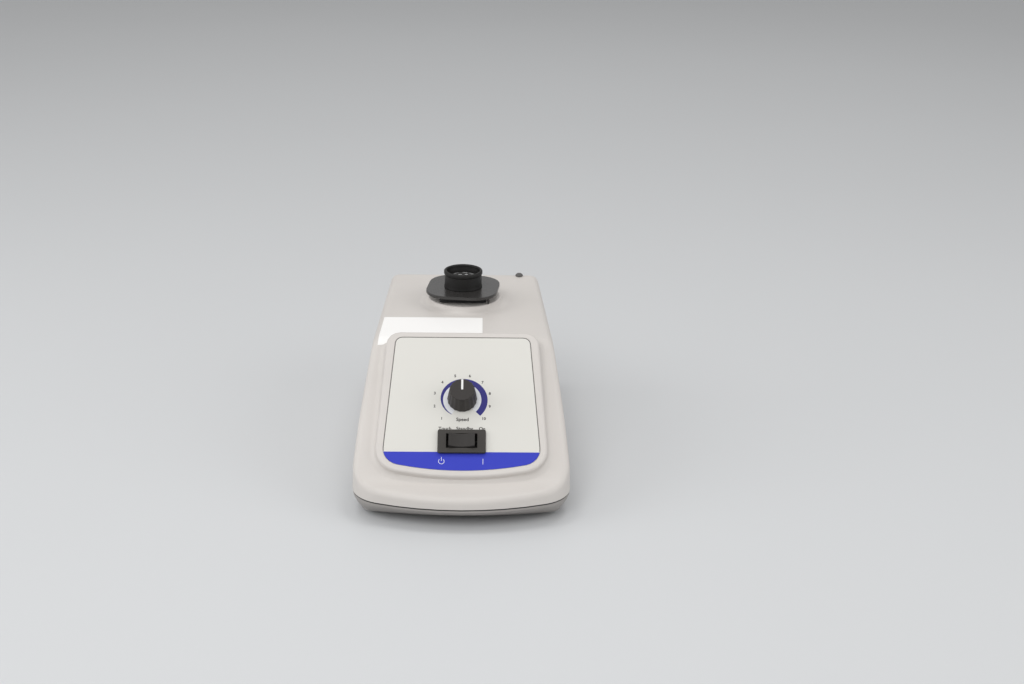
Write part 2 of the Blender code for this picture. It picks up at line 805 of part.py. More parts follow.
PANEL_MATRIX = Matrix.Translation((0, PANEL_TOP_Y, PANEL_TOP_HEIGHT)) @ Matrix.Rotation(PANEL_SLOPE, 4, "X")


def panel_corners():
    """Corners of the overlay's outline on the panel, before they are rounded."""
    vertex = OVERLAY_LENGTH + OVERLAY_BOW * (hypot(1, OVERLAY_BOW_SLOPE) - 1)
    front = vertex - OVERLAY_FRONT_HALF * OVERLAY_BOW_SLOPE
    return [
        (OVERLAY_BACK_HALF, 0),
        (-OVERLAY_BACK_HALF, 0),
        (-OVERLAY_FRONT_HALF, -front),
        (0, -vertex),
        (OVERLAY_FRONT_HALF, -front),
    ]


def panel_outline(offset=0.0):
    """The overlay's outline, or one parallel to it."""
    back, front = OVERLAY_BACK_CORNER + offset, OVERLAY_FRONT_CORNER + offset
    radii = [back, back, front, OVERLAY_BOW + offset, front]
    counts = [EDGE_STEPS, EDGE_STEPS, EDGE_STEPS + 2, BOW_STEPS, EDGE_STEPS + 2]
    return rounded_outline(grown_outline(panel_corners(), offset), radii, counts)


def on_panel(x, y, drop):
    """A place under the panel's plane, in the mixer's own frame."""
    return PANEL_MATRIX @ Vector((x, y, -drop))


def depth_to_skin(x, y):
    """How far below the panel's plane the housing's skin lies, along the panel's normal."""
    shallow, deep = 0.0, DECK_HEIGHT
    for _ in range(BISECTIONS):
        middle = (shallow + deep) / 2
        point = on_panel(x, y, middle)
        if point.z > skin_height(point.y):
            shallow = middle
        else:
            deep = middle
    return shallow


def pedestal_rings():
    """Rings down the raised panel: rolled rim, straight wall, and a flare that runs out on the skin."""
    rings = []
    for step in range(EDGE_STEPS):
        angle = pi / 2 * step / (EDGE_STEPS - 1)
        outline = panel_outline(PEDESTAL_MARGIN - PEDESTAL_ROLL * (1 - sin(angle)))
        rings.append([on_panel(x, y, PEDESTAL_ROLL * (1 - cos(angle))) for x, y in outline])
    depths = [depth_to_skin(x, y) for x, y in panel_outline(PEDESTAL_MARGIN)]
    for step in range(EDGE_STEPS + 1):
        angle = pi / 2 * step / EDGE_STEPS
        outline = panel_outline(PEDESTAL_MARGIN + PEDESTAL_FLARE * (1 - cos(angle)))
        ring = []
        for (x, y), depth in zip(outline, depths):
            flare = min(PEDESTAL_FLARE, max(depth - PEDESTAL_ROLL, 0) * FLARE_SHARE)
            drop = depth_to_skin(x, y) + PEDESTAL_SINK - flare * (1 - sin(angle))
            ring.append(on_panel(x, y, drop))
        rings.append(ring)
    outline = panel_outline(PEDESTAL_MARGIN + PEDESTAL_FLARE)
    rings.append([on_panel(x, y, depth_to_skin(x, y) + 2 * WALL) for x, y in outline])
    return rings


def pedestal_hollow_rings():
    """Rings of the space inside the raised panel."""
    outline = panel_outline(PEDESTAL_MARGIN - WALL)
    top = [on_panel(x, y, WALL) for x, y in outline]
    bottom = [on_panel(x, y, depth_to_skin(x, y) + 2 * WALL) for x, y in outline]
    return [top, bottom]


def build_housing(panel, inlet):
    """The top housing: skin, raised panel and boss, hollowed, with its posts and cut-outs."""
    mesh = loft_mesh("top_housing", skin_rings(0, SEAM_TOP), ladder=True)
    housing = part("top_housing", mesh, "housing_plastic")
    combine(housing, tool("pedestal", loft_mesh("pedestal", pedestal_rings())), "UNION")
    combine(housing, boss_body(), "UNION")
    nose = rods_mesh("post_noses", POST_RADIUS - POST_STEP, POST_BOTTOM, SEAM_TOP + WALL, post_places())
    combine(housing, tool("post_noses", nose), "UNION")
    posts = tool("posts", rods_mesh("posts", POST_RADIUS, POST_BOTTOM, DECK_HEIGHT, post_places()))
    hollow = tool("hollow", loft_mesh("hollow", skin_rings(WALL, SEAM_HEIGHT - LIP_HEIGHT, 2), ladder=True))
    under_panel = tool("under_panel", loft_mesh("under_panel", pedestal_hollow_rings()))
    for space in (hollow, under_panel):
        combine(space, posts)
        combine(housing, space)
    combine(housing, boss_recess())
    combine(housing, boss_opening())
    hole_top = POST_BOTTOM + BASE_SCREW_REACH + OVERRUN
    holes = rods_mesh("post_holes", BASE_SCREW_RADIUS + GAP, POST_BOTTOM - OVERRUN, hole_top, post_places())
    combine(housing, tool("post_holes", holes))
    plug_hole = rods_mesh(
        "plug_hole",
        PLUG_STEM_RADIUS + GAP,
        DECK_UNDERSIDE - OVERRUN,
        DECK_HEIGHT + OVERRUN,
        [(PLUG_X, PLUG_Y)],
    )
    combine(housing, tool("plug_hole", plug_hole))
    recess = prism_mesh("overlay_recess", panel_outline(GAP), -OVERLAY_THICKNESS - GAP, OVERRUN)
    combine(housing, tool("overlay_recess", recess, parent=panel))
    combine(housing, panel_holes("panel_holes", WALL + OVERRUN, panel))
    combine(housing, inlet_pocket(inlet))
    combine(housing, inlet_window(inlet))
    return housing


def boss_body():
    """The raised round boss: a flat top with a rolled crest that runs out on the deck in a hollow curve."""
    run_out = BOSS_FOOT_RADIUS - BOSS_CREST_RADIUS
    fall = BOSS_HEIGHT - BOSS_ROLL
    profile = [(0, BOSS_TOP)]
    for step in range(EDGE_STEPS):
        angle = pi / 2 * step / EDGE_STEPS
        radius = BOSS_CREST_RADIUS - BOSS_ROLL * (1 - sin(angle))
        profile.append((radius, BOSS_TOP - BOSS_ROLL * (1 - cos(angle))))
    for step in range(EDGE_STEPS + 1):
        angle = pi / 2 * step / EDGE_STEPS
        radius = BOSS_CREST_RADIUS + run_out * (1 - cos(angle))
        profile.append((radius, DECK_HEIGHT - PEDESTAL_SINK + fall * (1 - sin(angle))))
    profile += [(BOSS_FOOT_RADIUS, DECK_HEIGHT - WALL / 2), (0, DECK_HEIGHT - WALL / 2)]
    return turned("boss", profile, FACING_STEPS, place=MOTOR_AXIS)


def boss_recess():
    """The hollow under the boss's top, round the collar of its opening."""
    top, bottom = BOSS_TOP - WALL, DECK_UNDERSIDE - OVERRUN
    inner, outer = BOSS_OPENING_RADIUS + WALL, BOSS_CREST_RADIUS - WALL / 2
    profile = [(inner, top), (outer - WALL / 2, top), (outer, top - WALL / 2), (outer, bottom), (inner, bottom)]
    return turned("boss_recess", profile, ROUND_STEPS, closed=True, place=MOTOR_AXIS)


def boss_opening():
    """The opening in the boss, with its chamfered mouth."""
    chamfer, bottom = BOSS_ROLL / 2, DECK_UNDERSIDE - 2 * OVERRUN
    profile = [
        (0, BOSS_TOP + OVERRUN),
        (BOSS_OPENING_RADIUS + chamfer, BOSS_TOP + OVERRUN),
        (BOSS_OPENING_RADIUS + chamfer, BOSS_TOP),
        (BOSS_OPENING_RADIUS, BOSS_TOP - chamfer),
        (BOSS_OPENING_RADIUS, bottom),
        (0, bottom),
    ]
    return turned("boss_opening", profile, FACING_STEPS, place=MOTOR_AXIS)


def post_places():
    """Where the four screw posts stand, each over a foot."""
    return list(foot_places().values())


def panel_holes(name, depth, panel):
    """Holes down through the panel for the bushing and the switch's body."""
    shape = bmesh.new()
    add_rod(shape, POT_BUSHING_RADIUS + GAP, -depth, OVERRUN, (0, -DIAL_DROP))
    x, y = SWITCH_BODY_LENGTH / 2 + GAP, SWITCH_BODY_WIDTH / 2 + GAP
    add_block(shape, (-x, -SWITCH_DROP - y, -depth), (x, -SWITCH_DROP + y, OVERRUN))
    return tool(name, finished_mesh(shape, name), parent=panel)


def inlet_pocket(inlet):
    """The shallow pocket in the rear wall that takes the inlet's flange."""
    outline = rounded_box(
        INLET_FLANGE_WIDTH + 2 * GAP,
        INLET_FLANGE_HEIGHT + 2 * GAP,
        INLET_FLANGE_CORNER + GAP,
        2,
    )
    return tool("inlet_pocket", prism_mesh("inlet_pocket", outline, -INLET_POCKET, OVERRUN), parent=inlet)


def inlet_window(inlet):
    """The window through the rear wall for the inlet's body."""
    x, y = INLET_BODY_WIDTH / 2 + GAP, INLET_BODY_HEIGHT / 2 + GAP
    mesh = block_mesh("inlet_window", (-x, -y, -WALL - OVERRUN), (x, y, OVERRUN))
    return tool("inlet_window", mesh, parent=inlet)


# The base pan

PAN_BOTTOM = plan_outline(
    PAN_SIDE_INSET,
    REAR_Y - PAN_REAR_INSET,
    FRONT_Y + PAN_FRONT_INSET,
    PAN_FRONT_BOW,
    PAN_FRONT_CORNER,
)


def pan_ring(share, height, inset):
    """A ring between the outline at the seam and the smaller one at the bottom."""
    ring = []
    for top_point, low_point, out in zip(PLAN, PAN_BOTTOM, PLAN_OUTWARD):
        place = Vector(top_point).lerp(Vector(low_point), share) - out * inset
        ring.append((place.x, place.y, height))
    return ring


def pan_rings(inset, top, bottom, steps=EDGE_STEPS):
    """Rings down the pan: a short upright band, then a tuck-under that rounds into the floor."""
    band = SEAM_BOTTOM - PAN_BAND
    edge_height = bottom + PAN_EDGE
    rings = [pan_ring(0, top, inset), pan_ring(0, band, inset)]
    for step in range(1, steps + 1):
        share = step / steps
        tuck = PAN_TUCK_SHARE * share ** PAN_TUCK_POWER
        rings.append(pan_ring(tuck, band + (edge_height - band) * share, inset))
    rings.append(pan_ring(1, bottom, inset))
    return rings


def build_pan():
    """The base pan, with its lip, bosses, foot seats and vent slots."""
    pan = part("base_pan", loft_mesh("base_pan", pan_rings(PAN_REVEAL, SEAM_BOTTOM, FOOT_HEIGHT)), "pan_paint")
    lip = WALL + LIP_CLEARANCE
    tongue = [pan_ring(0, height, lip) for height in (SEAM_TOP + LIP_HEIGHT, SEAM_BOTTOM - PAN_BAND / 2)]
    combine(pan, tool("pan_tongue", loft_mesh("pan_tongue", tongue)), "UNION")
    hollow = pan_rings(lip + LIP_WALL, SEAM_TOP + LIP_HEIGHT + OVERRUN, PAN_INNER_FLOOR, 2)
    combine(pan, tool("pan_hollow", loft_mesh("pan_hollow", hollow)))
    root = PAN_INNER_FLOOR - PAN_FLOOR / 2
    bosses = bmesh.new()
    for place in post_places():
        add_rod(bosses, PAN_BOSS_RADIUS, root, POST_BOTTOM - GAP, place, SMALL_STEPS)
    for place in board_places():
        add_rod(bosses, BOARD_BOSS_RADIUS, root, BOARD_BOTTOM - GAP, place, SMALL_STEPS)
    combine(pan, tool("pan_bosses", finished_mesh(bosses, "pan_bosses")), "UNION")
    holes = bmesh.new()
    for place in post_places():
        add_rod(holes, BASE_SCREW_RADIUS + GAP, FOOT_HEIGHT, POST_BOTTOM, place, SMALL_STEPS)
    for place in column_places():
        bottom = PAN_INNER_FLOOR - COLUMN_STUD_SINK - GAP
        add_rod(holes, COLUMN_STUD_RADIUS + GAP, bottom, PAN_INNER_FLOOR + OVERRUN, place, SMALL_STEPS)
    for place in board_places()[::2]:
        bottom = BOARD_TOP - BOARD_SCREW_REACH
        add_rod(holes, BOARD_SCREW_RADIUS + GAP, bottom, BOARD_BOTTOM + OVERRUN, place, SCREW_STEPS)
    combine(pan, tool("pan_holes", finished_mesh(holes, "pan_holes")))
    sinks = bmesh.new()
    for place in post_places():
        add_rod(sinks, FOOT_RADIUS + GAP, FOOT_HEIGHT - OVERRUN, FOOT_HEIGHT + FOOT_SEAT_DEPTH, place)
    first = -(VENT_COUNT - 1) / 2 * VENT_PITCH
    for index in range(VENT_COUNT):
        left = first + index * VENT_PITCH - VENT_WIDTH / 2
        low = (left, BOSS_Y - VENT_LENGTH / 2, FOOT_HEIGHT - OVERRUN)
        high = (left + VENT_WIDTH, BOSS_Y + VENT_LENGTH / 2, PAN_INNER_FLOOR + OVERRUN)
        add_block(sinks, low, high)
    combine(pan, tool("pan_sinks", finished_mesh(sinks, "pan_sinks")))
    return pan


def foot_places():
    """Where the four feet sit, by name."""
    return {
        "foot_front_left": (-FOOT_FRONT_X, FOOT_FRONT_Y),
        "foot_front_right": (FOOT_FRONT_X, FOOT_FRONT_Y),
        "foot_rear_left": (-FOOT_REAR_X, FOOT_REAR_Y),
        "foot_rear_right": (FOOT_REAR_X, FOOT_REAR_Y),
    }


def build_feet():
    """Four rubber feet seated in the pan, each with a screw through it into a post above."""
    top = FOOT_HEIGHT + FOOT_SEAT_DEPTH - GAP
    web = top - FOOT_WEB
    bore, sink = BASE_SCREW_RADIUS + GAP, BASE_SCREW_HEAD_RADIUS + GAP
    profile = [
        (bore, top),
        (FOOT_RADIUS, top),
        (FOOT_RADIUS, FOOT_HEIGHT - PAN_EDGE),
        (FOOT_SOLE_RADIUS, 0),
        (sink, 0),
        (sink, web),
        (bore, web),
    ]
    for name, place in foot_places().items():
        turned(name, profile, PLAIN_STEPS, "black_rubber", closed=True, place=(*place, 0))
        screw(
            name.replace("foot", "base_screw"),
            BASE_SCREW_RADIUS,
            BASE_SCREW_HEAD_RADIUS,
            web - GAP,
            BASE_SCREW_HEAD_HEIGHT,
            POST_BOTTOM + BASE_SCREW_REACH,
            place=(*place, 0),
        )


def build_ballast():
    """A thick steel plate on the pan's floor, open over the vents."""
    middle = (0, (BALLAST_REAR_Y + BALLAST_FRONT_Y) / 2)
    outline = rounded_box(BALLAST_WIDTH, BALLAST_LENGTH, BALLAST_CORNER, 2, middle)
    ballast = part("ballast_plate", prism_mesh("ballast_plate", outline, BALLAST_BOTTOM, BALLAST_TOP), "steel")
    low, high = BALLAST_BOTTOM - OVERRUN, BALLAST_TOP + OVERRUN
    cuts = bmesh.new()
    window = hypot(VENT_LENGTH, VENT_WIDTH + (VENT_COUNT - 1) * VENT_PITCH) / 2
    add_rod(cuts, window, low, high, (0, BOSS_Y))
    for place in column_places():
        add_rod(cuts, COLUMN_STUD_RADIUS + GAP, low, high, place, SMALL_STEPS)
    combine(ballast, tool("ballast_cuts", finished_mesh(cuts, "ballast_cuts")))


# The motor and its mounting

def about_motor(places):
    """Places round the motor's axis, in the mixer's own frame."""
    return [(x + MOTOR_AXIS.x, y + MOTOR_AXIS.y) for x, y in places]


def column_places():
    """Where the four columns stand."""
    return about_motor(four_corners(COLUMN_SPREAD, COLUMN_SPREAD))


def bolt_places():
    """Where the four motor bolts run."""
    return about_motor(four_corners(BOLT_SPREAD, BOLT_SPREAD))


def build_columns():
    """Four hexagonal columns, each with a stud below and a threaded bore above for its screw."""
    shoulder, top = BALLAST_TOP + GAP, MOUNT_BOTTOM - GAP
    bore_bottom = MOUNT_BOTTOM - MOUNT_SCREW_REACH
    seat = GUIDE_TOP + GAP
    for corner, place in zip(CORNER_NAMES, column_places()):
        name = f"support_column_{corner}"
        column = part(name, rod_mesh(name, COLUMN_RADIUS, shoulder, top, 6), "steel", place=(*place, 0))
        stud = rod_mesh("stud", COLUMN_STUD_RADIUS, PAN_INNER_FLOOR - COLUMN_STUD_SINK, shoulder + OVERRUN, SMALL_STEPS)
        combine(column, tool(f"{name}_stud", stud, place=(*place, 0)), "UNION")
        bore = rod_mesh("bore", BOLT_RADIUS + GAP, bore_bottom - GAP, top + OVERRUN, SMALL_STEPS)
        combine(column, tool(f"{name}_bore", bore, place=(*place, 0)))
        screw(
            f"mount_screw_{corner}",
            BOLT_RADIUS,
            BOLT_HEAD_RADIUS,
            seat,
            BOLT_HEAD_HEIGHT,
            bore_bottom,
            place=(*place, 0),
        )


def mounting_plate(name, finish, bottom, top, centre_radius):
    """A square plate round the motor's axis, with a centre hole and the column screws' holes."""
    outline = rounded_box(MOUNT_SIDE, MOUNT_SIDE, MOUNT_CORNER, 2, (0, BOSS_Y))
    plate = part(name, prism_mesh(name, outline, bottom, top), finish)
    centre = rod_mesh(f"{name}_centre", centre_radius, bottom - OVERRUN, top + OVERRUN)
    combine(plate, tool(f"{name}_centre", centre, place=MOTOR_AXIS))
    return plate


def build_mount():
    """The steel mount plate, which the motor's bolts screw into."""
    plate = mounting_plate("mount_plate", "steel", MOUNT_BOTTOM, MOUNT_TOP, MOUNT_HOLE)
    places = column_places() + bolt_places()
    holes = rods_mesh("mount_holes", BOLT_RADIUS + GAP, MOUNT_BOTTOM - OVERRUN, MOUNT_TOP + OVERRUN, places)
    combine(plate, tool("mount_holes", holes))


def build_guide():
    """The guide plate on its four legs, with an oversize hole for each guide pin."""
    plate = mounting_plate("guide_plate", "black_plastic", GUIDE_BOTTOM, GUIDE_TOP, GUIDE_CENTRE_RADIUS)
    middle = (GUIDE_BOTTOM + GUIDE_TOP) / 2
    legs = rods_mesh("guide_legs", GUIDE_LEG_RADIUS, MOUNT_TOP + GAP, middle, column_places())
    combine(plate, tool("guide_legs", legs), "UNION")
    cuts = bmesh.new()
    for place in column_places():
        add_rod(cuts, BOLT_RADIUS + GAP, MOUNT_TOP - OVERRUN, GUIDE_TOP + OVERRUN, place, SMALL_STEPS)
    reach = PIN_RADIUS + ECCENTRICITY + PIN_CLEARANCE
    for place in about_motor(pin_places()):
        add_rod(cuts, reach, GUIDE_BOTTOM - OVERRUN, GUIDE_TOP + OVERRUN, place)
    combine(plate, tool("guide_holes", finished_mesh(cuts, "guide_holes")))


def bracket(name, plate_bottom, hub_bottom):
    """A cast motor bracket: a round hub with a cross of four arms."""
    mesh = rod_mesh(name, BRACKET_HUB_RADIUS, hub_bottom, hub_bottom + BRACKET_HUB_HEIGHT)
    piece = part(name, mesh, "cast_aluminium", place=MOTOR_AXIS)
    length = 2 * BOLT_SPREAD * sqrt(2) + BRACKET_ARM
    outline = rounded_box(length, BRACKET_ARM, BRACKET_ARM / 3, 1)
    for turn in (pi / 4, 3 * pi / 4):
        arm = prism_mesh("arm", outline, plate_bottom, plate_bottom + BRACKET_THICKNESS)
        combine(piece, tool(f"{name}_arm", arm, place=MOTOR_AXIS, turn=(0, 0, turn)), "UNION")
    return piece


def build_motor_frame():
    """Upper and lower brackets with their bearings, and the long bolts that clamp them."""
    upper_hub = UPPER_BRACKET_BOTTOM + BRACKET_THICKNESS - BRACKET_HUB_HEIGHT
    lower_seat = LOWER_BRACKET_BOTTOM + BRACKET_HUB_HEIGHT - BEARING_HEIGHT
    upper = bracket("upper_bracket", UPPER_BRACKET_BOTTOM, upper_hub)
    lower = bracket("lower_bracket", LOWER_BRACKET_BOTTOM, LOWER_BRACKET_BOTTOM)
    seats = bmesh.new()
    add_rod(seats, BEARING_OUTER + GAP, upper_hub - OVERRUN, upper_hub + BEARING_HEIGHT + GAP)
    add_rod(seats, BEARING_OUTER + GAP, lower_seat - GAP, lower_seat + BEARING_HEIGHT + OVERRUN)
    seat_tool = tool("bearing_seats", finished_mesh(seats, "bearing_seats"), place=MOTOR_AXIS)
    passages = bmesh.new()
    low, high = LOWER_BRACKET_BOTTOM - OVERRUN, UPPER_BRACKET_BOTTOM + BRACKET_THICKNESS + OVERRUN
    add_rod(passages, SHAFT_RADIUS + 2 * GAP, low, high)
    for place in four_corners(BOLT_SPREAD, BOLT_SPREAD):
        add_rod(passages, BOLT_RADIUS + GAP, low, high, place, SMALL_STEPS)
    passage_tool = tool("bracket_passages", finished_mesh(passages, "bracket_passages"), place=MOTOR_AXIS)
    for piece in (upper, lower):
        combine(piece, seat_tool)
        combine(piece, passage_tool)
    for name, bottom in (("upper_bearing", upper_hub), ("lower_bearing", lower_seat)):
        bearing(name, BEARING_OUTER, SHAFT_RADIUS, bottom, BEARING_HEIGHT, place=MOTOR_AXIS)
    for corner, place in zip(CORNER_NAMES, bolt_places()):
        screw(
            f"motor_bolt_{corner}",
            BOLT_RADIUS,
            BOLT_HEAD_RADIUS,
            LOWER_BRACKET_BOTTOM - GAP,
            BOLT_HEAD_HEIGHT,
            MOUNT_TOP - GAP,
            place=(*place, 0),
        )


def bearing(name, outer, shaft_radius, bottom, height, **where):
    """A ball bearing drawn as one ring with a groove between its races."""
    top = bottom + height
    inner = shaft_radius + GAP
    race = (outer - inner) / 3
    groove = height / 8
    profile = [
        (outer - race, top),
        (outer, top),
        (outer, bottom),
        (outer - race, bottom),
        (outer - race, bottom + groove),
        (inner + race, bottom + groove),
        (inner + race, bottom),
        (inner, bottom),
        (inner, top),
        (inner + race, top),
        (inner + race, top - groove),
        (outer - race, top - groove),
    ]
    return turned(name, profile, PLAIN_STEPS, "steel", closed=True, **where)


def slot_frames():
    """The turned frames of the stator's slots, each with X pointing outwards."""
    return [Matrix.Rotation(2 * pi * index / SLOT_COUNT, 4, "Z") for index in range(SLOT_COUNT)]


def coil_profile(low):
    """The section of one ring of winding, with its corners cut."""
    inner, outer, high = STATOR_BORE + GAP, COIL_RADIUS, low + COIL_THICKNESS
    cut = COIL_THICKNESS / 4
    return [
        (inner + cut, high),
        (outer - cut, high),
        (outer, high - cut),
        (outer, low + cut),
        (outer - cut, low),
        (inner + cut, low),
        (inner, low + cut),
        (inner, high - cut),
    ]


def build_stator():
    """The slotted stator core, and its windings: a ring at each end joined through the slots."""
    outline = rounded_box(STATOR_SIDE, STATOR_SIDE, STATOR_CORNER, 2)
    mesh = prism_mesh("stator_core", outline, STATOR_BOTTOM, STATOR_TOP)
    core = part("stator_core", mesh, "electrical_steel", place=MOTOR_AXIS)
    low, high = STATOR_BOTTOM - OVERRUN, STATOR_TOP + OVERRUN
    bore = bmesh.new()
    add_rod(bore, STATOR_BORE, low, high)
    for place in four_corners(BOLT_SPREAD, BOLT_SPREAD):
        add_rod(bore, BOLT_RADIUS + GAP, low, high, place, SMALL_STEPS)
    combine(core, tool("stator_bore", finished_mesh(bore, "stator_bore"), place=MOTOR_AXIS))
    slots, bars = bmesh.new(), bmesh.new()
    lower_coil = STATOR_BOTTOM - GAP - COIL_THICKNESS
    upper_coil = STATOR_TOP + GAP
    side = SLOT_WIDTH / 2
    for frame in slot_frames():
        add_block(slots, (STATOR_BORE - SLOT_WIDTH, -side, low), (STATOR_BORE + SLOT_DEPTH, side, high), frame)
        add_block(
            bars,
            (STATOR_BORE + 2 * GAP, -side + GAP, lower_coil + COIL_THICKNESS / 2),
            (STATOR_BORE + SLOT_DEPTH - GAP, side - GAP, upper_coil + COIL_THICKNESS / 2),
            frame,
        )
    combine(core, tool("stator_slots", finished_mesh(slots, "stator_slots"), place=MOTOR_AXIS))
    windings = turned(
        "stator_windings",
        coil_profile(lower_coil),
        PLAIN_STEPS,
        "copper",
        closed=True,
        place=MOTOR_AXIS,
    )
    combine(windings, tool("winding_bars", finished_mesh(bars, "winding_bars"), place=MOTOR_AXIS), "UNION")
    upper = turned("upper_winding", coil_profile(upper_coil), PLAIN_STEPS, closed=True, place=MOTOR_AXIS)
    combine(windings, upper, "UNION")


def build_rotor(axis):
    """The shaft, the rotor core, the fan, and the hub with its crank stub and counterweight."""
    chamfer = SHAFT_RADIUS / 8
    profile = [
        (0, SHAFT_TOP),
        (SHAFT_RADIUS - chamfer, SHAFT_TOP),
        (SHAFT_RADIUS, SHAFT_TOP - chamfer),
        (SHAFT_RADIUS, SHAFT_BOTTOM + chamfer),
        (SHAFT_RADIUS - chamfer, SHAFT_BOTTOM),
        (0, SHAFT_BOTTOM),
    ]
    turned("motor_shaft", profile, ROUND_STEPS, "steel", parent=axis)
    middle = (STATOR_BOTTOM + STATOR_TOP) / 2
    half = (STATOR_TOP - STATOR_BOTTOM) / 2 + ROTOR_OVERHANG
    low, high = middle - half, middle + half
    end_ring, inset = half / 4, ROTOR_RADIUS / 12
    bore = SHAFT_RADIUS + GAP
    profile = [
        (bore, high),
        (ROTOR_RADIUS - inset, high),
        (ROTOR_RADIUS - inset, high - end_ring),
        (ROTOR_RADIUS, high - end_ring),
        (ROTOR_RADIUS, low + end_ring),
        (ROTOR_RADIUS - inset, low + end_ring),
        (ROTOR_RADIUS - inset, low),
        (bore, low),
    ]
    turned("rotor_core", profile, ROUND_STEPS, "electrical_steel", closed=True, parent=axis)
    build_fan(axis)
    build_hub(axis)


def build_fan(axis):
    """A seven-bladed fan on the lower end of the shaft."""
    top = FAN_BOTTOM + FAN_HEIGHT
    mesh = rod_mesh("cooling_fan", FAN_HUB_RADIUS, FAN_BOTTOM, top)
    fan = part("cooling_fan", mesh, "black_plastic", parent=axis)
    blades = bmesh.new()
    root = FAN_HUB_RADIUS * BLADE_ROOT_SHARE
    half_chord = (FAN_HEIGHT - FAN_BLADE_THICKNESS) / 2
    for index in range(FAN_BLADES):
        spin = Matrix.Rotation(2 * pi * index / FAN_BLADES, 4, "Z")
        pitch = Matrix.Translation((0, 0, FAN_BOTTOM + FAN_HEIGHT / 2)) @ Matrix.Rotation(FAN_PITCH, 4, "X")
        low = (root, -FAN_BLADE_THICKNESS / 2, -half_chord)
        add_block(blades, low, (FAN_RADIUS, FAN_BLADE_THICKNESS / 2, half_chord), spin @ pitch)
    combine(fan, tool("fan_blades", finished_mesh(blades, "fan_blades"), parent=axis), "UNION")
    bore = rod_mesh("fan_bore", SHAFT_RADIUS + GAP, FAN_BOTTOM - OVERRUN, top + OVERRUN)
    combine(fan, tool("fan_bore", bore, parent=axis))


def build_hub(axis):
    """The eccentric hub on the shaft's top, with the crank stub, and the counterweight round it."""
    hub = part("eccentric_hub", rod_mesh("eccentric_hub", HUB_RADIUS, HUB_BOTTOM, HUB_TOP), "steel", parent=axis)
    stub = rod_mesh("crank_stub", STUB_RADIUS, HUB_TOP - OVERRUN, STUB_TOP)
    combine(hub, tool("crank_stub", stub, parent=axis, place=(-ECCENTRICITY, 0, 0)), "UNION")
    bore = rod_mesh("hub_bore", SHAFT_RADIUS + GAP, HUB_BOTTOM - OVERRUN, SHAFT_TOP + GAP)
    combine(hub, tool("hub_bore", bore, parent=axis))
    top = COUNTERWEIGHT_BOTTOM + COUNTERWEIGHT_HEIGHT
    outline = arc((0, 0), COUNTERWEIGHT_RADIUS, -pi / 2, pi / 2, ROUND_STEPS // 2)
    outline += arc((0, 0), HUB_RADIUS + COUNTERWEIGHT_RIM, pi / 2, 3 * pi / 2, ROUND_STEPS // 2)
    mesh = prism_mesh("counterweight", outline, COUNTERWEIGHT_BOTTOM, top)
    weight = part("counterweight", mesh, "brass", parent=axis)
    seat = rod_mesh("counterweight_bore", HUB_RADIUS + GAP, COUNTERWEIGHT_BOTTOM - OVERRUN, top + OVERRUN)
    combine(weight, tool("counterweight_bore", seat, parent=axis))


# The head

def pin_places():
    """Where the guide pins stand, about the crank's axis."""
    return ring_of(PIN_COUNT, PIN_CIRCLE)


def build_head(axis):
    """Carrier, bearing, guide pins, plate, cup and the screw that holds them, about the crank's axis."""
    screw_end = PLATE_TOP - HEAD_SCREW_REACH
    hole = rod_mesh("head_screw_hole", HEAD_SCREW_RADIUS + GAP, screw_end - GAP, CUP_TOP, SMALL_STEPS)
    hole_tool = tool("head_screw_hole", hole, parent=axis)
    build_carrier(axis, hole_tool)
    outline = rounded_box(PLATE_SIDE, PLATE_SIDE, PLATE_CORNER, EDGE_STEPS + 2)
    plate = part(
        "platform_plate",
        prism_mesh("platform_plate", outline, PLATE_BOTTOM, PLATE_TOP),
        "black_plastic",
        parent=axis,
        turn=(0, 0, PLATE_TURN),
    )
    bevel(plate, PLATE_THICKNESS / 4)
    posts = [(PLATE_POST_X, -PLATE_POST_Y), (-PLATE_POST_X, PLATE_POST_Y)]
    pegs = rods_mesh("plate_posts", PLATE_POST_RADIUS, SKIRT_BOTTOM, (PLATE_BOTTOM + PLATE_TOP) / 2, posts)
    combine(plate, tool("plate_posts", pegs, parent=axis), "UNION")
    combine(plate, hole_tool)
    build_cup(axis)
    screw(
        "head_screw",
        HEAD_SCREW_RADIUS,
        HEAD_SCREW_HEAD_RADIUS,
        CUP_BOTTOM + CUP_WEB + GAP,
        HEAD_SCREW_HEAD_HEIGHT,
        screw_end,
        parent=axis,
    )


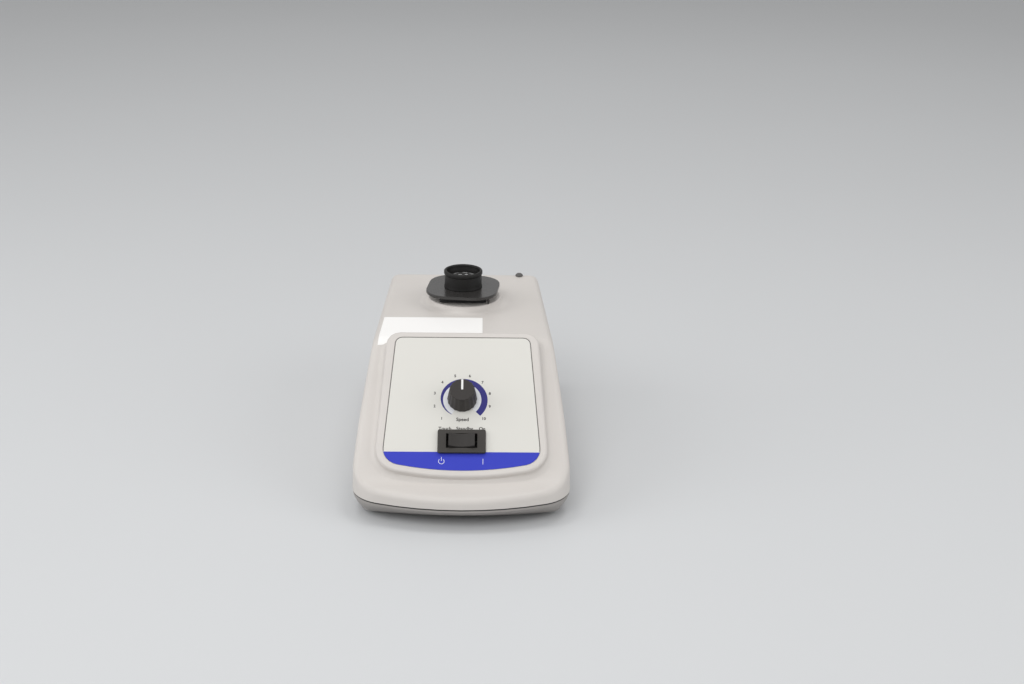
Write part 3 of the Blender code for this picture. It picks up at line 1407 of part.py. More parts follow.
def build_carrier(axis, hole_tool):
    """The carrier: a square skirt over the boss, on a round hub that holds the crank's bearing."""
    top = PLATE_BOTTOM - GAP
    outline = rounded_box(SKIRT_SIDE, SKIRT_SIDE, SKIRT_CORNER, EDGE_STEPS - 1)
    mesh = prism_mesh("drive_carrier", outline, SKIRT_BOTTOM, top)
    carrier = part("drive_carrier", mesh, "black_plastic", parent=axis)
    middle = (SKIRT_BOTTOM + top) / 2
    chamfer = CARRIER_BEARING_SEAT / 2
    profile = [
        (0, middle),
        (CARRIER_HUB_RADIUS, middle),
        (CARRIER_HUB_RADIUS, CARRIER_BOTTOM + chamfer),
        (CARRIER_HUB_RADIUS - chamfer, CARRIER_BOTTOM),
        (0, CARRIER_BOTTOM),
    ]
    combine(carrier, turned("carrier_hub", profile, ROUND_STEPS, parent=axis), "UNION")
    seat = CARRIER_BOTTOM + CARRIER_BEARING_SEAT
    ceiling = seat + CARRIER_BEARING_HEIGHT + GAP
    pocket = rod_mesh("bearing_pocket", CARRIER_BEARING_OUTER + GAP, CARRIER_BOTTOM - OVERRUN, ceiling)
    combine(carrier, tool("bearing_pocket", pocket, parent=axis))
    socket_top = CARRIER_BOTTOM + PIN_SOCKET
    low, high = CARRIER_BOTTOM - OVERRUN, socket_top + GAP
    sockets = rods_mesh("pin_sockets", PIN_RADIUS + GAP, low, high, pin_places(), PLAIN_STEPS)
    combine(carrier, tool("pin_sockets", sockets, parent=axis))
    combine(carrier, hole_tool)
    bearing("carrier_bearing", CARRIER_BEARING_OUTER, STUB_RADIUS, seat, CARRIER_BEARING_HEIGHT, parent=axis)
    pin = rod_mesh("guide_pin", PIN_RADIUS, PIN_BOTTOM, socket_top, SMALL_STEPS)
    for side, (x, y) in zip(("right", "left"), pin_places()):
        part(f"guide_pin_{side}", pin.copy(), "steel", parent=axis, place=(x, y, 0))


def build_cup(axis):
    """The rubber cup with its beaded rim, and the dished insert in it."""
    bead = CUP_TOP - CUP_BEAD_DROP
    round_over = CUP_BEAD_DROP / 2
    floor = CUP_BOTTOM + CUP_FLOOR
    web = CUP_BOTTOM + CUP_WEB
    profile = [
        (CUP_MOUTH_RADIUS + round_over / 4, CUP_TOP - round_over / 8),
        ((CUP_MOUTH_RADIUS + CUP_CREST_RADIUS) / 2, CUP_TOP),
        (CUP_CREST_RADIUS, CUP_TOP - round_over / 3),
        (CUP_BEAD_RADIUS - round_over / 4, bead + round_over),
        (CUP_BEAD_RADIUS, bead),
        (CUP_BEAD_RADIUS - round_over / 4, bead - round_over / 2),
        (CUP_WALL_RADIUS, bead - round_over),
        (CUP_WALL_RADIUS, CUP_BOTTOM + round_over),
        (CUP_WALL_RADIUS + round_over / 3, CUP_BOTTOM),
        (HEAD_SCREW_RADIUS + GAP, CUP_BOTTOM),
        (HEAD_SCREW_RADIUS + GAP, web),
        (HEAD_SCREW_HEAD_RADIUS + GAP, web),
        (HEAD_SCREW_HEAD_RADIUS + GAP, floor),
        (CUP_BORE_RADIUS, floor),
        (CUP_BORE_RADIUS, bead - round_over),
        (CUP_MOUTH_RADIUS, CUP_TOP - round_over / 2),
    ]
    turned("rubber_cup", profile, FACING_STEPS, "black_rubber", closed=True, parent=axis)
    bottom = floor + GAP
    rim = bottom + DISH_RIM_HEIGHT
    radius = CUP_BORE_RADIUS - GAP
    lip = DISH_LIP
    dish = [(0, rim - DISH_DEPTH)]
    for step in range(1, EDGE_STEPS + 1):
        share = step / EDGE_STEPS
        dish.append(((radius - lip) * share, rim - DISH_DEPTH * (1 - share ** 2)))
    dish += [(radius, rim), (radius, bottom), (0, bottom)]
    turned("cup_insert", dish, ROUND_STEPS, "black_rubber", parent=axis)


# The control panel's pieces

def build_overlay(panel):
    """The thin overlay, open round the bushing and the switch's body."""
    mesh = prism_mesh("panel_overlay", panel_outline(), -OVERLAY_THICKNESS, 0)
    overlay = part("panel_overlay", mesh, "overlay_film", parent=panel)
    combine(overlay, panel_holes("overlay_holes", OVERLAY_THICKNESS + OVERRUN, panel))


def fluted_ring(radius, height, flutes, depth, steps):
    """One ring of a fluted surface."""
    ring = []
    for px, py in ring_of(flutes * steps, 1):
        wave = (1 - cos(atan2(py, px) * flutes)) / 2
        reach = radius - depth * wave
        ring.append((reach * px, reach * py, height))
    return ring


def build_knob(axis):
    """The fluted knob with its socket, the pointer let into its top, and the shaft in it."""
    top = KNOB_LIFT + KNOB_HEIGHT
    flutes = (KNOB_FLUTES, KNOB_FLUTE_DEPTH, EDGE_STEPS)
    rings = [
        fluted_ring(KNOB_TOP_RADIUS - KNOB_BEVEL, top, *flutes),
        fluted_ring(KNOB_TOP_RADIUS - KNOB_BEVEL / 3, top - KNOB_BEVEL / 3, *flutes),
        fluted_ring(KNOB_TOP_RADIUS, top - KNOB_BEVEL, *flutes),
        fluted_ring(KNOB_BASE_RADIUS, KNOB_LIFT, *flutes),
    ]
    knob = part("speed_knob", loft_mesh("speed_knob", rings), "black_plastic", parent=axis)
    socket = rod_mesh("knob_socket", KNOB_SOCKET_RADIUS, 0, KNOB_LIFT + KNOB_SOCKET_DEPTH)
    combine(knob, tool("knob_socket", socket, parent=axis))
    shaft_top = top - KNOB_TOP_WALL
    bore = rod_mesh("knob_bore", POT_SHAFT_RADIUS + GAP, KNOB_LIFT, shaft_top + GAP)
    combine(knob, tool("knob_bore", bore, parent=axis))
    half, fit = POINTER_WIDTH / 2, POINTER_FIT
    low = top - POINTER_DEPTH
    groove = block_mesh("pointer_groove", (-half - fit, 0, low - fit), (half + fit, KNOB_BASE_RADIUS, top + OVERRUN))
    combine(knob, tool("pointer_groove", groove, parent=axis))
    pointer = block_mesh("knob_pointer", (-half, fit, low), (half, KNOB_TOP_RADIUS - KNOB_BEVEL, top + fit))
    part("knob_pointer", pointer, "pointer_white", parent=axis)
    shaft = rod_mesh("pot_shaft", POT_SHAFT_RADIUS, -WALL - POT_BODY_HEIGHT, shaft_top)
    part("pot_shaft", shaft, "steel", parent=axis)


def build_potentiometer(panel):
    """The control behind the panel, its threaded bushing and its hexagonal nut."""
    place = (0, -DIAL_DROP, 0)
    shoulder = -WALL - GAP
    bore = POT_SHAFT_RADIUS + GAP
    profile = [
        (bore, POT_BUSHING_RISE),
        (POT_BUSHING_RADIUS, POT_BUSHING_RISE),
        (POT_BUSHING_RADIUS, shoulder),
        (POT_BODY_RADIUS, shoulder),
        (POT_BODY_RADIUS, shoulder - POT_BODY_HEIGHT),
        (bore, shoulder - POT_BODY_HEIGHT),
    ]
    turned("potentiometer", profile, ROUND_STEPS, "steel", closed=True, parent=panel, place=place)
    mesh = rod_mesh("pot_nut", POT_NUT_RADIUS, GAP, GAP + POT_NUT_HEIGHT, 6)
    nut = part("pot_nut", mesh, "brass", parent=panel, place=place)
    bore = rod_mesh("nut_bore", POT_BUSHING_RADIUS + GAP, -OVERRUN, POT_BUSHING_RISE + OVERRUN)
    combine(nut, tool("nut_bore", bore, parent=panel, place=place))


def build_switch(panel, pivot):
    """The switch's frame and body with its well and terminals, and the rocker on its pivot."""
    place = (0, -SWITCH_DROP, 0)
    x, y = SWITCH_FRAME_LENGTH / 2, SWITCH_FRAME_WIDTH / 2
    mesh = block_mesh("switch_frame", (-x, -y, GAP), (x, y, SWITCH_FRAME_HEIGHT))
    frame = part("switch_frame", mesh, "black_plastic", parent=panel, place=place)
    bevel(frame, SWITCH_FRAME_BEVEL)
    x, y = SWITCH_BODY_LENGTH / 2, SWITCH_BODY_WIDTH / 2
    body = block_mesh("switch_body", (-x, -y, -SWITCH_BODY_DEPTH), (x, y, SWITCH_FRAME_HEIGHT / 2))
    combine(frame, tool("switch_body", body, parent=panel, place=place), "UNION")
    x, y = SWITCH_WELL_LENGTH / 2, SWITCH_WELL_WIDTH / 2
    well = block_mesh("switch_well", (-x, -y, -SWITCH_WELL_DEPTH), (x, y, SWITCH_FRAME_HEIGHT + OVERRUN))
    combine(frame, tool("switch_well", well, parent=panel, place=place))
    tabs = bmesh.new()
    first = -(TERMINAL_COUNT - 1) / 2 * TERMINAL_PITCH
    for index in range(TERMINAL_COUNT):
        left = first + index * TERMINAL_PITCH - TERMINAL_THICKNESS / 2
        low = (left, -TERMINAL_WIDTH / 2, -SWITCH_BODY_DEPTH - TERMINAL_LENGTH)
        add_block(tabs, low, (left + TERMINAL_THICKNESS, TERMINAL_WIDTH / 2, OVERRUN - SWITCH_BODY_DEPTH))
    combine(frame, tool("switch_tabs", finished_mesh(tabs, "switch_tabs"), parent=panel, place=place), "UNION")
    rocker = part("switch_rocker", rocker_mesh(), "black_plastic", parent=pivot)
    bevel(rocker, ROCKER_BEVEL, segments=1)


def rocker_mesh():
    """The rocker: a dished top between raised ends, and a round belly about the pivot."""
    half = ROCKER_LENGTH / 2
    rise = ROCKER_END_RISE + ROCKER_PIVOT_DROP
    count = 2 * EDGE_STEPS
    spread = [2 * step / count - 1 for step in range(count + 1)]
    outline = [(share * half, rise - ROCKER_HOLLOW * (1 - share ** 2)) for share in spread]
    outline += [(-share * half, ROCKER_BELLY * (share ** 2 - 1) - ROCKER_BEVEL) for share in spread]
    return standing_mesh("switch_rocker", outline, ROCKER_WIDTH)


# Rear wall and deck fittings

def build_inlet(inlet):
    """The power inlet: flange, body, and a socket with two cut corners round three flat pins."""
    outline = rounded_box(INLET_FLANGE_WIDTH, INLET_FLANGE_HEIGHT, INLET_FLANGE_CORNER, 2)
    back = GAP - INLET_POCKET
    face = back + INLET_FLANGE_THICKNESS
    piece = part("power_inlet", prism_mesh("power_inlet", outline, back, face), "black_plastic", parent=inlet)
    x, y = INLET_BODY_WIDTH / 2, INLET_BODY_HEIGHT / 2
    body = block_mesh("inlet_body", (-x, -y, -INLET_BODY_DEPTH), (x, y, (back + face) / 2))
    combine(piece, tool("inlet_body", body, parent=inlet), "UNION")
    x, y, cut = INLET_SOCKET_WIDTH / 2, INLET_SOCKET_HEIGHT / 2, INLET_SOCKET_CHAMFER
    outline = [(x, y - cut), (x - cut, y), (cut - x, y), (-x, y - cut), (-x, -y), (x, -y)]
    floor = face - INLET_SOCKET_DEPTH
    combine(piece, tool("inlet_socket", prism_mesh("inlet_socket", outline, floor, face + OVERRUN), parent=inlet))
    pins = bmesh.new()
    side, rise = INLET_PIN_SPREAD, INLET_PIN_RISE
    for px, py in ((side, -rise), (0, rise), (-side, -rise)):
        x, y = INLET_PIN_WIDTH / 2, INLET_PIN_HEIGHT / 2
        add_block(pins, (px - x, py - y, floor - OVERRUN), (px + x, py + y, floor + INLET_PIN_LENGTH))
    combine(piece, tool("inlet_pins", finished_mesh(pins, "inlet_pins"), parent=inlet), "UNION")


def build_plug():
    """The small ribbed plug pushed into the deck."""
    base = DECK_HEIGHT + GAP
    stem = fluted_ring(PLUG_STEM_RADIUS, 0, PLUG_RIBS, 0, 2)
    rings = [[(x, y, height) for x, y, _ in stem] for height in (base - PLUG_STEM_LENGTH, base)]
    for step in range(EDGE_STEPS + 1):
        share = step / (EDGE_STEPS + 1)
        radius = PLUG_RADIUS * sqrt(1 - share ** 2)
        rings.append(fluted_ring(radius, base + PLUG_HEIGHT * share, PLUG_RIBS, PLUG_RIB_DEPTH, 2))
    part("deck_plug", loft_mesh("deck_plug", rings), "black_rubber", place=(PLUG_X, PLUG_Y, 0))


# The control board

def board_places():
    """Where the board rests on bosses of the pan."""
    x, y = BOARD_WIDTH / 2 - BOARD_BOSS_INSET, BOARD_LENGTH / 2 - BOARD_BOSS_INSET
    return [(px, py + BOARD_Y) for px, py in four_corners(x, y)]


def build_board():
    """The speed control board, screwed down at two corners, with its heat sink."""
    x, y = BOARD_WIDTH / 2, BOARD_LENGTH / 2
    low, high = (-x, BOARD_Y - y, BOARD_BOTTOM), (x, BOARD_Y + y, BOARD_TOP)
    board = part("control_board", block_mesh("control_board", low, high), "circuit_board")
    places = board_places()[::2]
    holes = rods_mesh(
        "board_holes",
        BOARD_SCREW_RADIUS + GAP,
        BOARD_BOTTOM - OVERRUN,
        BOARD_TOP + OVERRUN,
        places,
        SCREW_STEPS,
    )
    combine(board, tool("board_holes", holes))
    seat = BOARD_TOP + GAP
    for side, place in zip(("right", "left"), places):
        screw(
            f"board_screw_{side}",
            BOARD_SCREW_RADIUS,
            BOARD_SCREW_HEAD,
            seat,
            BOARD_SCREW_HEAD_HEIGHT,
            seat - BOARD_SCREW_REACH,
            place=(*place, 0),
        )
    outline = [(0, 0)]
    for index in range(HEATSINK_FINS):
        left = index * HEATSINK_PITCH
        foot = HEATSINK_BASE if index else 0
        outline += [(left, foot), (left, HEATSINK_HEIGHT), (left + HEATSINK_FIN, HEATSINK_HEIGHT)]
        outline.append((left + HEATSINK_FIN, HEATSINK_BASE if index < HEATSINK_FINS - 1 else 0))
    mesh = standing_mesh("heat_sink", outline[1:], HEATSINK_LENGTH)
    part("heat_sink", mesh, "cast_aluminium", place=(BOARD_BOSS_INSET - x, BOARD_Y, seat))


def settle():
    """Apply each piece's modifiers, and shade its round faces smooth."""
    bpy.context.view_layer.update()
    graph = bpy.context.evaluated_depsgraph_get()
    pieces = [piece for piece in PARTS.objects if piece.type == "MESH"]
    meshes = [bpy.data.meshes.new_from_object(piece.evaluated_get(graph)) for piece in pieces]
    for piece, mesh in zip(pieces, meshes):
        piece.modifiers.clear()
        piece.data = mesh
        mesh.name = piece.name
        mesh.shade_smooth()
        mesh.set_sharp_from_angle(angle=SHARP_ANGLE)


def main():
    """Build every piece of the mixer."""
    clear_scene()
    panel = empty("panel_frame", (0, PANEL_TOP_Y, PANEL_TOP_HEIGHT), (PANEL_SLOPE, 0, 0))
    knob_axis = empty("knob_axis", (0, -DIAL_DROP, 0), parent=panel)
    pivot = empty("rocker_pivot", (0, -SWITCH_DROP, SWITCH_FRAME_HEIGHT - ROCKER_PIVOT_DROP), parent=panel)
    wall_y = REAR_Y - tan(DRAFT) * (INLET_HEIGHT - SEAM_HEIGHT)
    inlet = empty("inlet_frame", (INLET_X, wall_y, INLET_HEIGHT), (pi / 2 - DRAFT, 0, pi))
    motor_axis = empty("motor_axis", MOTOR_AXIS, (0, 0, CRANK_TURN))
    crank_axis = empty("crank_axis", CRANK_AXIS)
    build_housing(panel, inlet)
    build_pan()
    build_feet()
    build_ballast()
    build_columns()
    build_mount()
    build_motor_frame()
    build_stator()
    build_rotor(motor_axis)
    build_guide()
    build_head(crank_axis)
    build_overlay(panel)
    build_knob(knob_axis)
    build_potentiometer(panel)
    build_switch(panel, pivot)
    build_inlet(inlet)
    build_plug()
    build_board()
    settle()


main()
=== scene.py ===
"""Looks of a microplate vortex mixer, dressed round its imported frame.

The frame gives every rigid piece its shape, place and motion. This script gives them their
finishes, redraws the round and moulded pieces more finely, and adds what is printed or stuck on:
the panel's blue band, dial and words, and the blank label on the deck. It also sets up the floor,
the lamps and the camera.

Metres, +Z up. X runs to the right, Y to the back, and the origin lies on the bench.
"""

from __future__ import annotations

import json
import logging
from dataclasses import dataclass, field
from enum import Enum
from math import cos, pi, radians, sin, sqrt
from typing import Any, Sequence, Union

import bmesh
import bpy
from bmesh.types import BMesh, BMFace, BMLoop, BMVert
from mathutils import Matrix, Vector
from mathutils.bvhtree import BVHTree
from mathutils.kdtree import KDTree

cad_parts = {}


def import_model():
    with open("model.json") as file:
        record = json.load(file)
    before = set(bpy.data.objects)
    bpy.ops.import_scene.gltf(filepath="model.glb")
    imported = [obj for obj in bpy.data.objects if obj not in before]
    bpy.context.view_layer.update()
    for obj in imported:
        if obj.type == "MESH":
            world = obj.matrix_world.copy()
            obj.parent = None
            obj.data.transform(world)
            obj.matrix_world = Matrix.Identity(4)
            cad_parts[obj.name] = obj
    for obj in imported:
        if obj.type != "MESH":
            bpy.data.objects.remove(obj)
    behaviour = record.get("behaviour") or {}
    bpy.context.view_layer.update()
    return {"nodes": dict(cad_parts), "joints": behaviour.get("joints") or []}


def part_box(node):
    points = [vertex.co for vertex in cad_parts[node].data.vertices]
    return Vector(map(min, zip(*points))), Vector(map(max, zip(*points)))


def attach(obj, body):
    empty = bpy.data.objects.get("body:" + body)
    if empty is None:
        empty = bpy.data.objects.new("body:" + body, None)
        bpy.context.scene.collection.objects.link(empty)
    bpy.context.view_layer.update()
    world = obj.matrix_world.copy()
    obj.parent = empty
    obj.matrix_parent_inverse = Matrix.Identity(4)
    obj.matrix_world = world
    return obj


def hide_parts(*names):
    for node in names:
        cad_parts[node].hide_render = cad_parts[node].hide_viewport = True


LOG = logging.getLogger("vortex_mixer")

Colour = tuple[float, float, float]
Point = tuple[float, float]
Place = tuple[float, float, float]
Nodes = dict[str, bpy.types.Object]
Joints = dict[str, dict[str, Any]]

UP: Place = (0.0, 0.0, 1.0)
MERGE = 1e-6  # points nearer to each other than this are one
FLAT = radians(0.45)  # faces that turn by less than this are one
SHARP = 32.0  # degrees above which an edge stays sharp
FACING = 0.9  # how far up a face of the film has to look to be its printed side


class Body(str, Enum):
    """The rigid bodies of the frame that a piece can ride on."""

    CHASSIS = "chassis"
    HEAD = "head"
    KNOB = "knob"
    ROCKER = "rocker"


# Shader arithmetic


class Signal:
    """A number that varies over a surface, with arithmetic that adds its own Math nodes."""

    def __init__(self, bench: NodeBench, socket: bpy.types.NodeSocket) -> None:
        """Wrap an output that gives a number, and note the bench that it belongs to."""
        self.bench = bench
        self.socket = socket

    def _math(self, operation: str, first: Value, second: Value = 0.0, clamp: bool = False) -> Signal:
        """The result of one Math node, kept between 0 and 1 if that is asked."""
        settings = {"operation": operation, "use_clamp": clamp}
        return self.bench.signal("ShaderNodeMath", settings, {0: first, 1: second})

    def __add__(self, other: Value) -> Signal:
        """The sum."""
        return self._math("ADD", self, other)

    def __radd__(self, other: Value) -> Signal:
        """The sum, with a number on the left."""
        return self._math("ADD", other, self)

    def __sub__(self, other: Value) -> Signal:
        """The difference."""
        return self._math("SUBTRACT", self, other)

    def __rsub__(self, other: Value) -> Signal:
        """The difference, with a number on the left."""
        return self._math("SUBTRACT", other, self)

    def __mul__(self, other: Value) -> Signal:
        """The product."""
        return self._math("MULTIPLY", self, other)

    def __rmul__(self, other: Value) -> Signal:
        """The product, with a number on the left."""
        return self._math("MULTIPLY", other, self)

    def __truediv__(self, other: Value) -> Signal:
        """The quotient."""
        return self._math("DIVIDE", self, other)

    def __pow__(self, other: Value) -> Signal:
        """The power."""
        return self._math("POWER", self, other)

    def clipped(self) -> Signal:
        """The value kept between 0 and 1."""
        return self._math("ADD", self, 0.0, clamp=True)

    def above(self, edge: float) -> Signal:
        """1 where the value is above an edge, 0 elsewhere."""
        return self._math("GREATER_THAN", self, edge)

    def wave(self, pitch: float) -> Signal:
        """A sine of the value, once every pitch, from -1 to 1."""
        return self._math("SINE", self * (2 * pi / pitch))


Value = Union[Signal, float]


class NodeBench:
    """Builds one material's node tree."""

    def __init__(self, name: str) -> None:
        """Start a material with its Principled shader.

        Args:
            name: the material's name.
        """
        self.material = bpy.data.materials.new(name)
        self.material.use_nodes = True
        self.tree = self.material.node_tree
        self.shader = self.tree.nodes["Principled BSDF"]
        self.place = self.node("ShaderNodeTexCoord", {}, {}).outputs["Object"]

    def node(self, kind: str, settings: dict[str, Any], sockets: dict[Any, Any]) -> bpy.types.Node:
        """Add a node, set it up and connect it.

        Args:
            kind: the node's type.
            settings: its properties.
            sockets: values, signals or sockets for its inputs, by name or index.

        Returns:
            The new node.
        """
        made = self.tree.nodes.new(kind)
        for key, value in settings.items():
            setattr(made, key, value)
        for key, value in sockets.items():
            self.feed(made.inputs[key], value)
        return made

    def feed(self, socket: bpy.types.NodeSocket, value: Any) -> None:
        """Set a socket to a value, or link one to it.

        Args:
            socket: the input to feed.
            value: a number, a vector, a signal or an output socket.
        """
        if isinstance(value, Signal):
            value = value.socket
        if isinstance(value, bpy.types.NodeSocket):
            self.tree.links.new(value, socket)
        else:
            socket.default_value = value

    def signal(self, kind: str, settings: dict[str, Any], sockets: dict[Any, Any], output: Any = 0) -> Signal:
        """Add a node and take one of its outputs, by name or index, as a signal."""
        return Signal(self, self.node(kind, settings, sockets).outputs[output])

    def stretched(self, scale: Place) -> bpy.types.NodeSocket:
        """The object's coordinates, scaled along each axis."""
        mapping = {"Vector": self.place, "Scale": scale}
        return self.node("ShaderNodeMapping", {}, mapping).outputs[0]

    def noise(self, size: float, detail: float = 3.0, place: Any = None) -> Signal:
        """Cloudy noise from 0 to 1, with blotches of a size in metres and a number of finer layers."""
        sockets = {"Vector": place or self.place, "Scale": 1.0 / size, "Detail": detail}
        return self.signal("ShaderNodeTexNoise", {}, sockets, "Fac")

    def cells(self, size: float) -> Signal:
        """Distance to the middle of the nearest of many small cells, from 0 to about 1."""
        sockets = {"Vector": self.place, "Scale": 1.0 / size}
        return self.signal("ShaderNodeTexVoronoi", {}, sockets, "Distance")

    def along(self, axis: Place) -> Signal:
        """How far a point lies along a direction, in metres."""
        settings = {"operation": "DOT_PRODUCT"}
        return self.signal("ShaderNodeVectorMath", settings, {0: self.place, 1: axis}, "Value")

    def from_axis(self, x: float, y: float) -> Signal:
        """Distance from an upright line.

        Args:
            x: the line's place.
            y: the line's place.

        Returns:
            The distance, in metres.
        """
        kind = "ShaderNodeVectorMath"
        offset = self.node(kind, {"operation": "SUBTRACT"}, {0: self.place, 1: (x, y, 0.0)})
        flat = self.node(kind, {"operation": "MULTIPLY"}, {0: offset.outputs[0], 1: (1.0, 1.0, 0.0)})
        return self.signal(kind, {"operation": "LENGTH"}, {0: flat.outputs[0]}, "Value")

    def blend(self, share: Signal, first: Any, second: Any) -> bpy.types.NodeSocket:
        """Mix two colours or their sockets: a share of 0 gives the first, and 1 the second."""
        sockets = {0: share, 6: opaque(first), 7: opaque(second)}
        return self.node("ShaderNodeMix", {"data_type": "RGBA"}, sockets).outputs[2]

    def relief(self, height: Signal, distance: float) -> bpy.types.NodeSocket:
        """A normal bent by a pattern from 0 to 1, whose 1 stands a distance in metres high."""
        sockets = {"Strength": 1.0, "Distance": distance, "Height": height}
        return self.node("ShaderNodeBump", {}, sockets).outputs[0]


def opaque(colour: Any) -> Any:
    """A colour with its alpha, or the socket as it came."""
    return (*colour, 1.0) if isinstance(colour, tuple) else colour


def scaled(colour: Colour, share: float) -> Colour:
    """A colour made darker or lighter."""
    return (colour[0] * share, colour[1] * share, colour[2] * share)


# Finishes


@dataclass(frozen=True)
class Finish:
    """A plain finish with a fine grain, a faint drift of its colour and an uneven polish."""

    title: str
    slot: str
    colour: Colour
    roughness: float
    metallic: float = 0.0
    coat: float = 0.0
    coat_roughness: float = 0.1
    specular: float = 0.5
    drift: float = 0.04
    drift_size: float = 0.045
    unevenness: float = 0.06
    grain_size: float = 0.0005
    grain_height: float = 0.000012

    def material(self) -> bpy.types.Material:
        """Make the finish's material, or find it if it was made before.

        Returns:
            The material.
        """
        known = bpy.data.materials.get(self.title)
        if known is not None:
            return known
        bench = NodeBench(self.title)
        self.dress(bench)
        return bench.material

    def dress(self, bench: NodeBench) -> None:
        """Set up the shader.

        Args:
            bench: the material's node bench.
        """
        shader = bench.shader.inputs
        shader["Metallic"].default_value = self.metallic
        shader["Coat Weight"].default_value = self.coat
        shader["Coat Roughness"].default_value = self.coat_roughness
        shader["Specular IOR Level"].default_value = self.specular
        bench.feed(shader["Base Color"], self.paint(bench))
        bench.feed(shader["Roughness"], self.polish(bench))
        bench.feed(shader["Normal"], bench.relief(self.grain(bench), self.grain_height))

    def paint(self, bench: NodeBench) -> Any:
        """The colour over the surface."""
        darker, paler = scaled(self.colour, 1.0 - self.drift), scaled(self.colour, 1.0 + self.drift)
        return bench.blend(bench.noise(self.drift_size, 2.0), darker, paler)

    def polish(self, bench: NodeBench) -> Signal:
        """The roughness over the surface."""
        cloud = bench.noise(self.drift_size / 3, 4.0)
        return (cloud - 0.5) * (2 * self.unevenness) + self.roughness

    def grain(self, bench: NodeBench) -> Signal:
        """The fine relief, from 0 to 1."""
        return bench.noise(self.grain_size, 2.0)


@dataclass(frozen=True)
class SparkedPlastic(Finish):
    """Moulded plastic whose tool was spark-eroded: a skin of fine pebbles, scuffed low on its sides, with an
    optional painted shadow under a seam.
    """

    pebble: float = 0.0009
    scuff_size: float = 0.006
    scuff_edge: float = 0.66
    scuff_top: float = 0.03
    scuff_share: float = 0.18
    scuff_shade: float = 0.72
    seam: float = 0.0177
    seam_depth: float = 0.0
    grime_blur: float = 0.0002
    grime_shade: float = 0.08

    def paint(self, bench: NodeBench) -> Any:
        """The colour, with faint handling marks low on the sides and a painted shadow in the seam.

        Args:
            bench: the material's node bench.

        Returns:
            The colour over the surface.
        """
        body = super().paint(bench)
        height = bench.along(UP)
        low = (1.0 - height / self.scuff_top).clipped()
        scuff = bench.noise(self.scuff_size, 5.0).above(self.scuff_edge) * low
        worn = bench.blend(scuff * self.scuff_share, body, scaled(self.colour, self.scuff_shade))
        if self.seam_depth == 0.0:
            return worn
        # painted shadow: a band just under the seam's height darkened nearly to black, standing for the shade
        # in the gap under the housing
        seam_shadow = ((height - (self.seam - self.seam_depth)) / self.grime_blur).clipped()
        return bench.blend(seam_shadow, worn, scaled(self.colour, self.grime_shade))

    def grain(self, bench: NodeBench) -> Signal:
        """Round pebbles under a finer grain."""
        return bench.cells(self.pebble) * 0.6 + bench.noise(self.grain_size, 2.0) * 0.4


@dataclass(frozen=True)
class RubbedRubber(Finish):
    """Black rubber with a fine tooth, greyer where it is handled."""

    bloom: Colour = (0.026, 0.025, 0.024)
    patch_size: float = 0.009
    patch_edge: float = 0.42
    patch_gain: float = 1.6
    patch_share: float = 0.5

    def paint(self, bench: NodeBench) -> Any:
        """Black with a thin grey bloom in patches."""
        patches = (bench.noise(self.patch_size, 5.0) - self.patch_edge).clipped() * self.patch_gain
        return bench.blend(patches.clipped() * self.patch_share, self.colour, self.bloom)


@dataclass(frozen=True)
class ScratchedGloss(Finish):
    """Glossy plastic under fine hairline scratches."""

    scratch: float = 0.16
    across: tuple[float, Place, float] = (0.004, (1.0, 14.0, 1.0), 0.62)
    along: tuple[float, Place, float] = (0.005, (16.0, 1.0, 1.0), 0.64)

    def polish(self, bench: NodeBench) -> Signal:
        """Smooth, with duller hairlines along two directions."""
        first, second = (
            bench.noise(size, 4.0, bench.stretched(stretch)).above(edge)
            for size, stretch, edge in (self.across, self.along)
        )
        return super().polish(bench) + (first + second) * (self.scratch / 2)


@dataclass(frozen=True)
class Metal(Finish):
    """Bare metal."""

    metallic: float = 1.0


@dataclass(frozen=True)
class BrushedMetal(Metal):
    """Metal with fine lines left by its machining."""

    grain_height: float = 0.000008
    stretch: Place = (1.0, 1.0, 30.0)
    line_size: float = 0.002
    streak_size: float = 0.003
    streak_depth: float = 0.25

    def grain(self, bench: NodeBench) -> Signal:
        """Lines across the stretched direction."""
        return bench.noise(self.line_size, 3.0, bench.stretched(self.stretch))

    def polish(self, bench: NodeBench) -> Signal:
        """Streaks of duller metal."""
        streaks = bench.noise(self.streak_size, 3.0, bench.stretched(self.stretch))
        return (streaks - 0.5) * self.streak_depth + self.roughness


@dataclass(frozen=True)
class LaminatedSteel(Metal):
    """A stack of thin punched sheets."""

    grain_height: float = 0.0001
    sheet: float = 0.0007
    gap_shade: float = 0.55

    def grain(self, bench: NodeBench) -> Signal:
        """The edges of the sheets."""
        return bench.along(UP).wave(self.sheet) * 0.5 + 0.5

    def paint(self, bench: NodeBench) -> Any:
        """Darker between the sheets."""
        return bench.blend(self.grain(bench) ** 2.0, scaled(self.colour, self.gap_shade), self.colour)


@dataclass(frozen=True)
class WoundCopper(Metal):
    """Enamelled wire wound in rings round an upright axis."""

    grain_height: float = 0.0003
    x: float = 0.0
    y: float = 0.0
    wire: float = 0.0008
    gap_shade: float = 0.35

    def grain(self, bench: NodeBench) -> Signal:
        """The rounds of the wire, seen from above and from the side."""
        rings, layers = bench.from_axis(self.x, self.y).wave(self.wire), bench.along(UP).wave(self.wire)
        return (rings + layers) * 0.25 + 0.5

    def paint(self, bench: NodeBench) -> Any:
        """Copper, darker between the rounds."""
        return bench.blend(self.grain(bench), scaled(self.colour, self.gap_shade), self.colour)


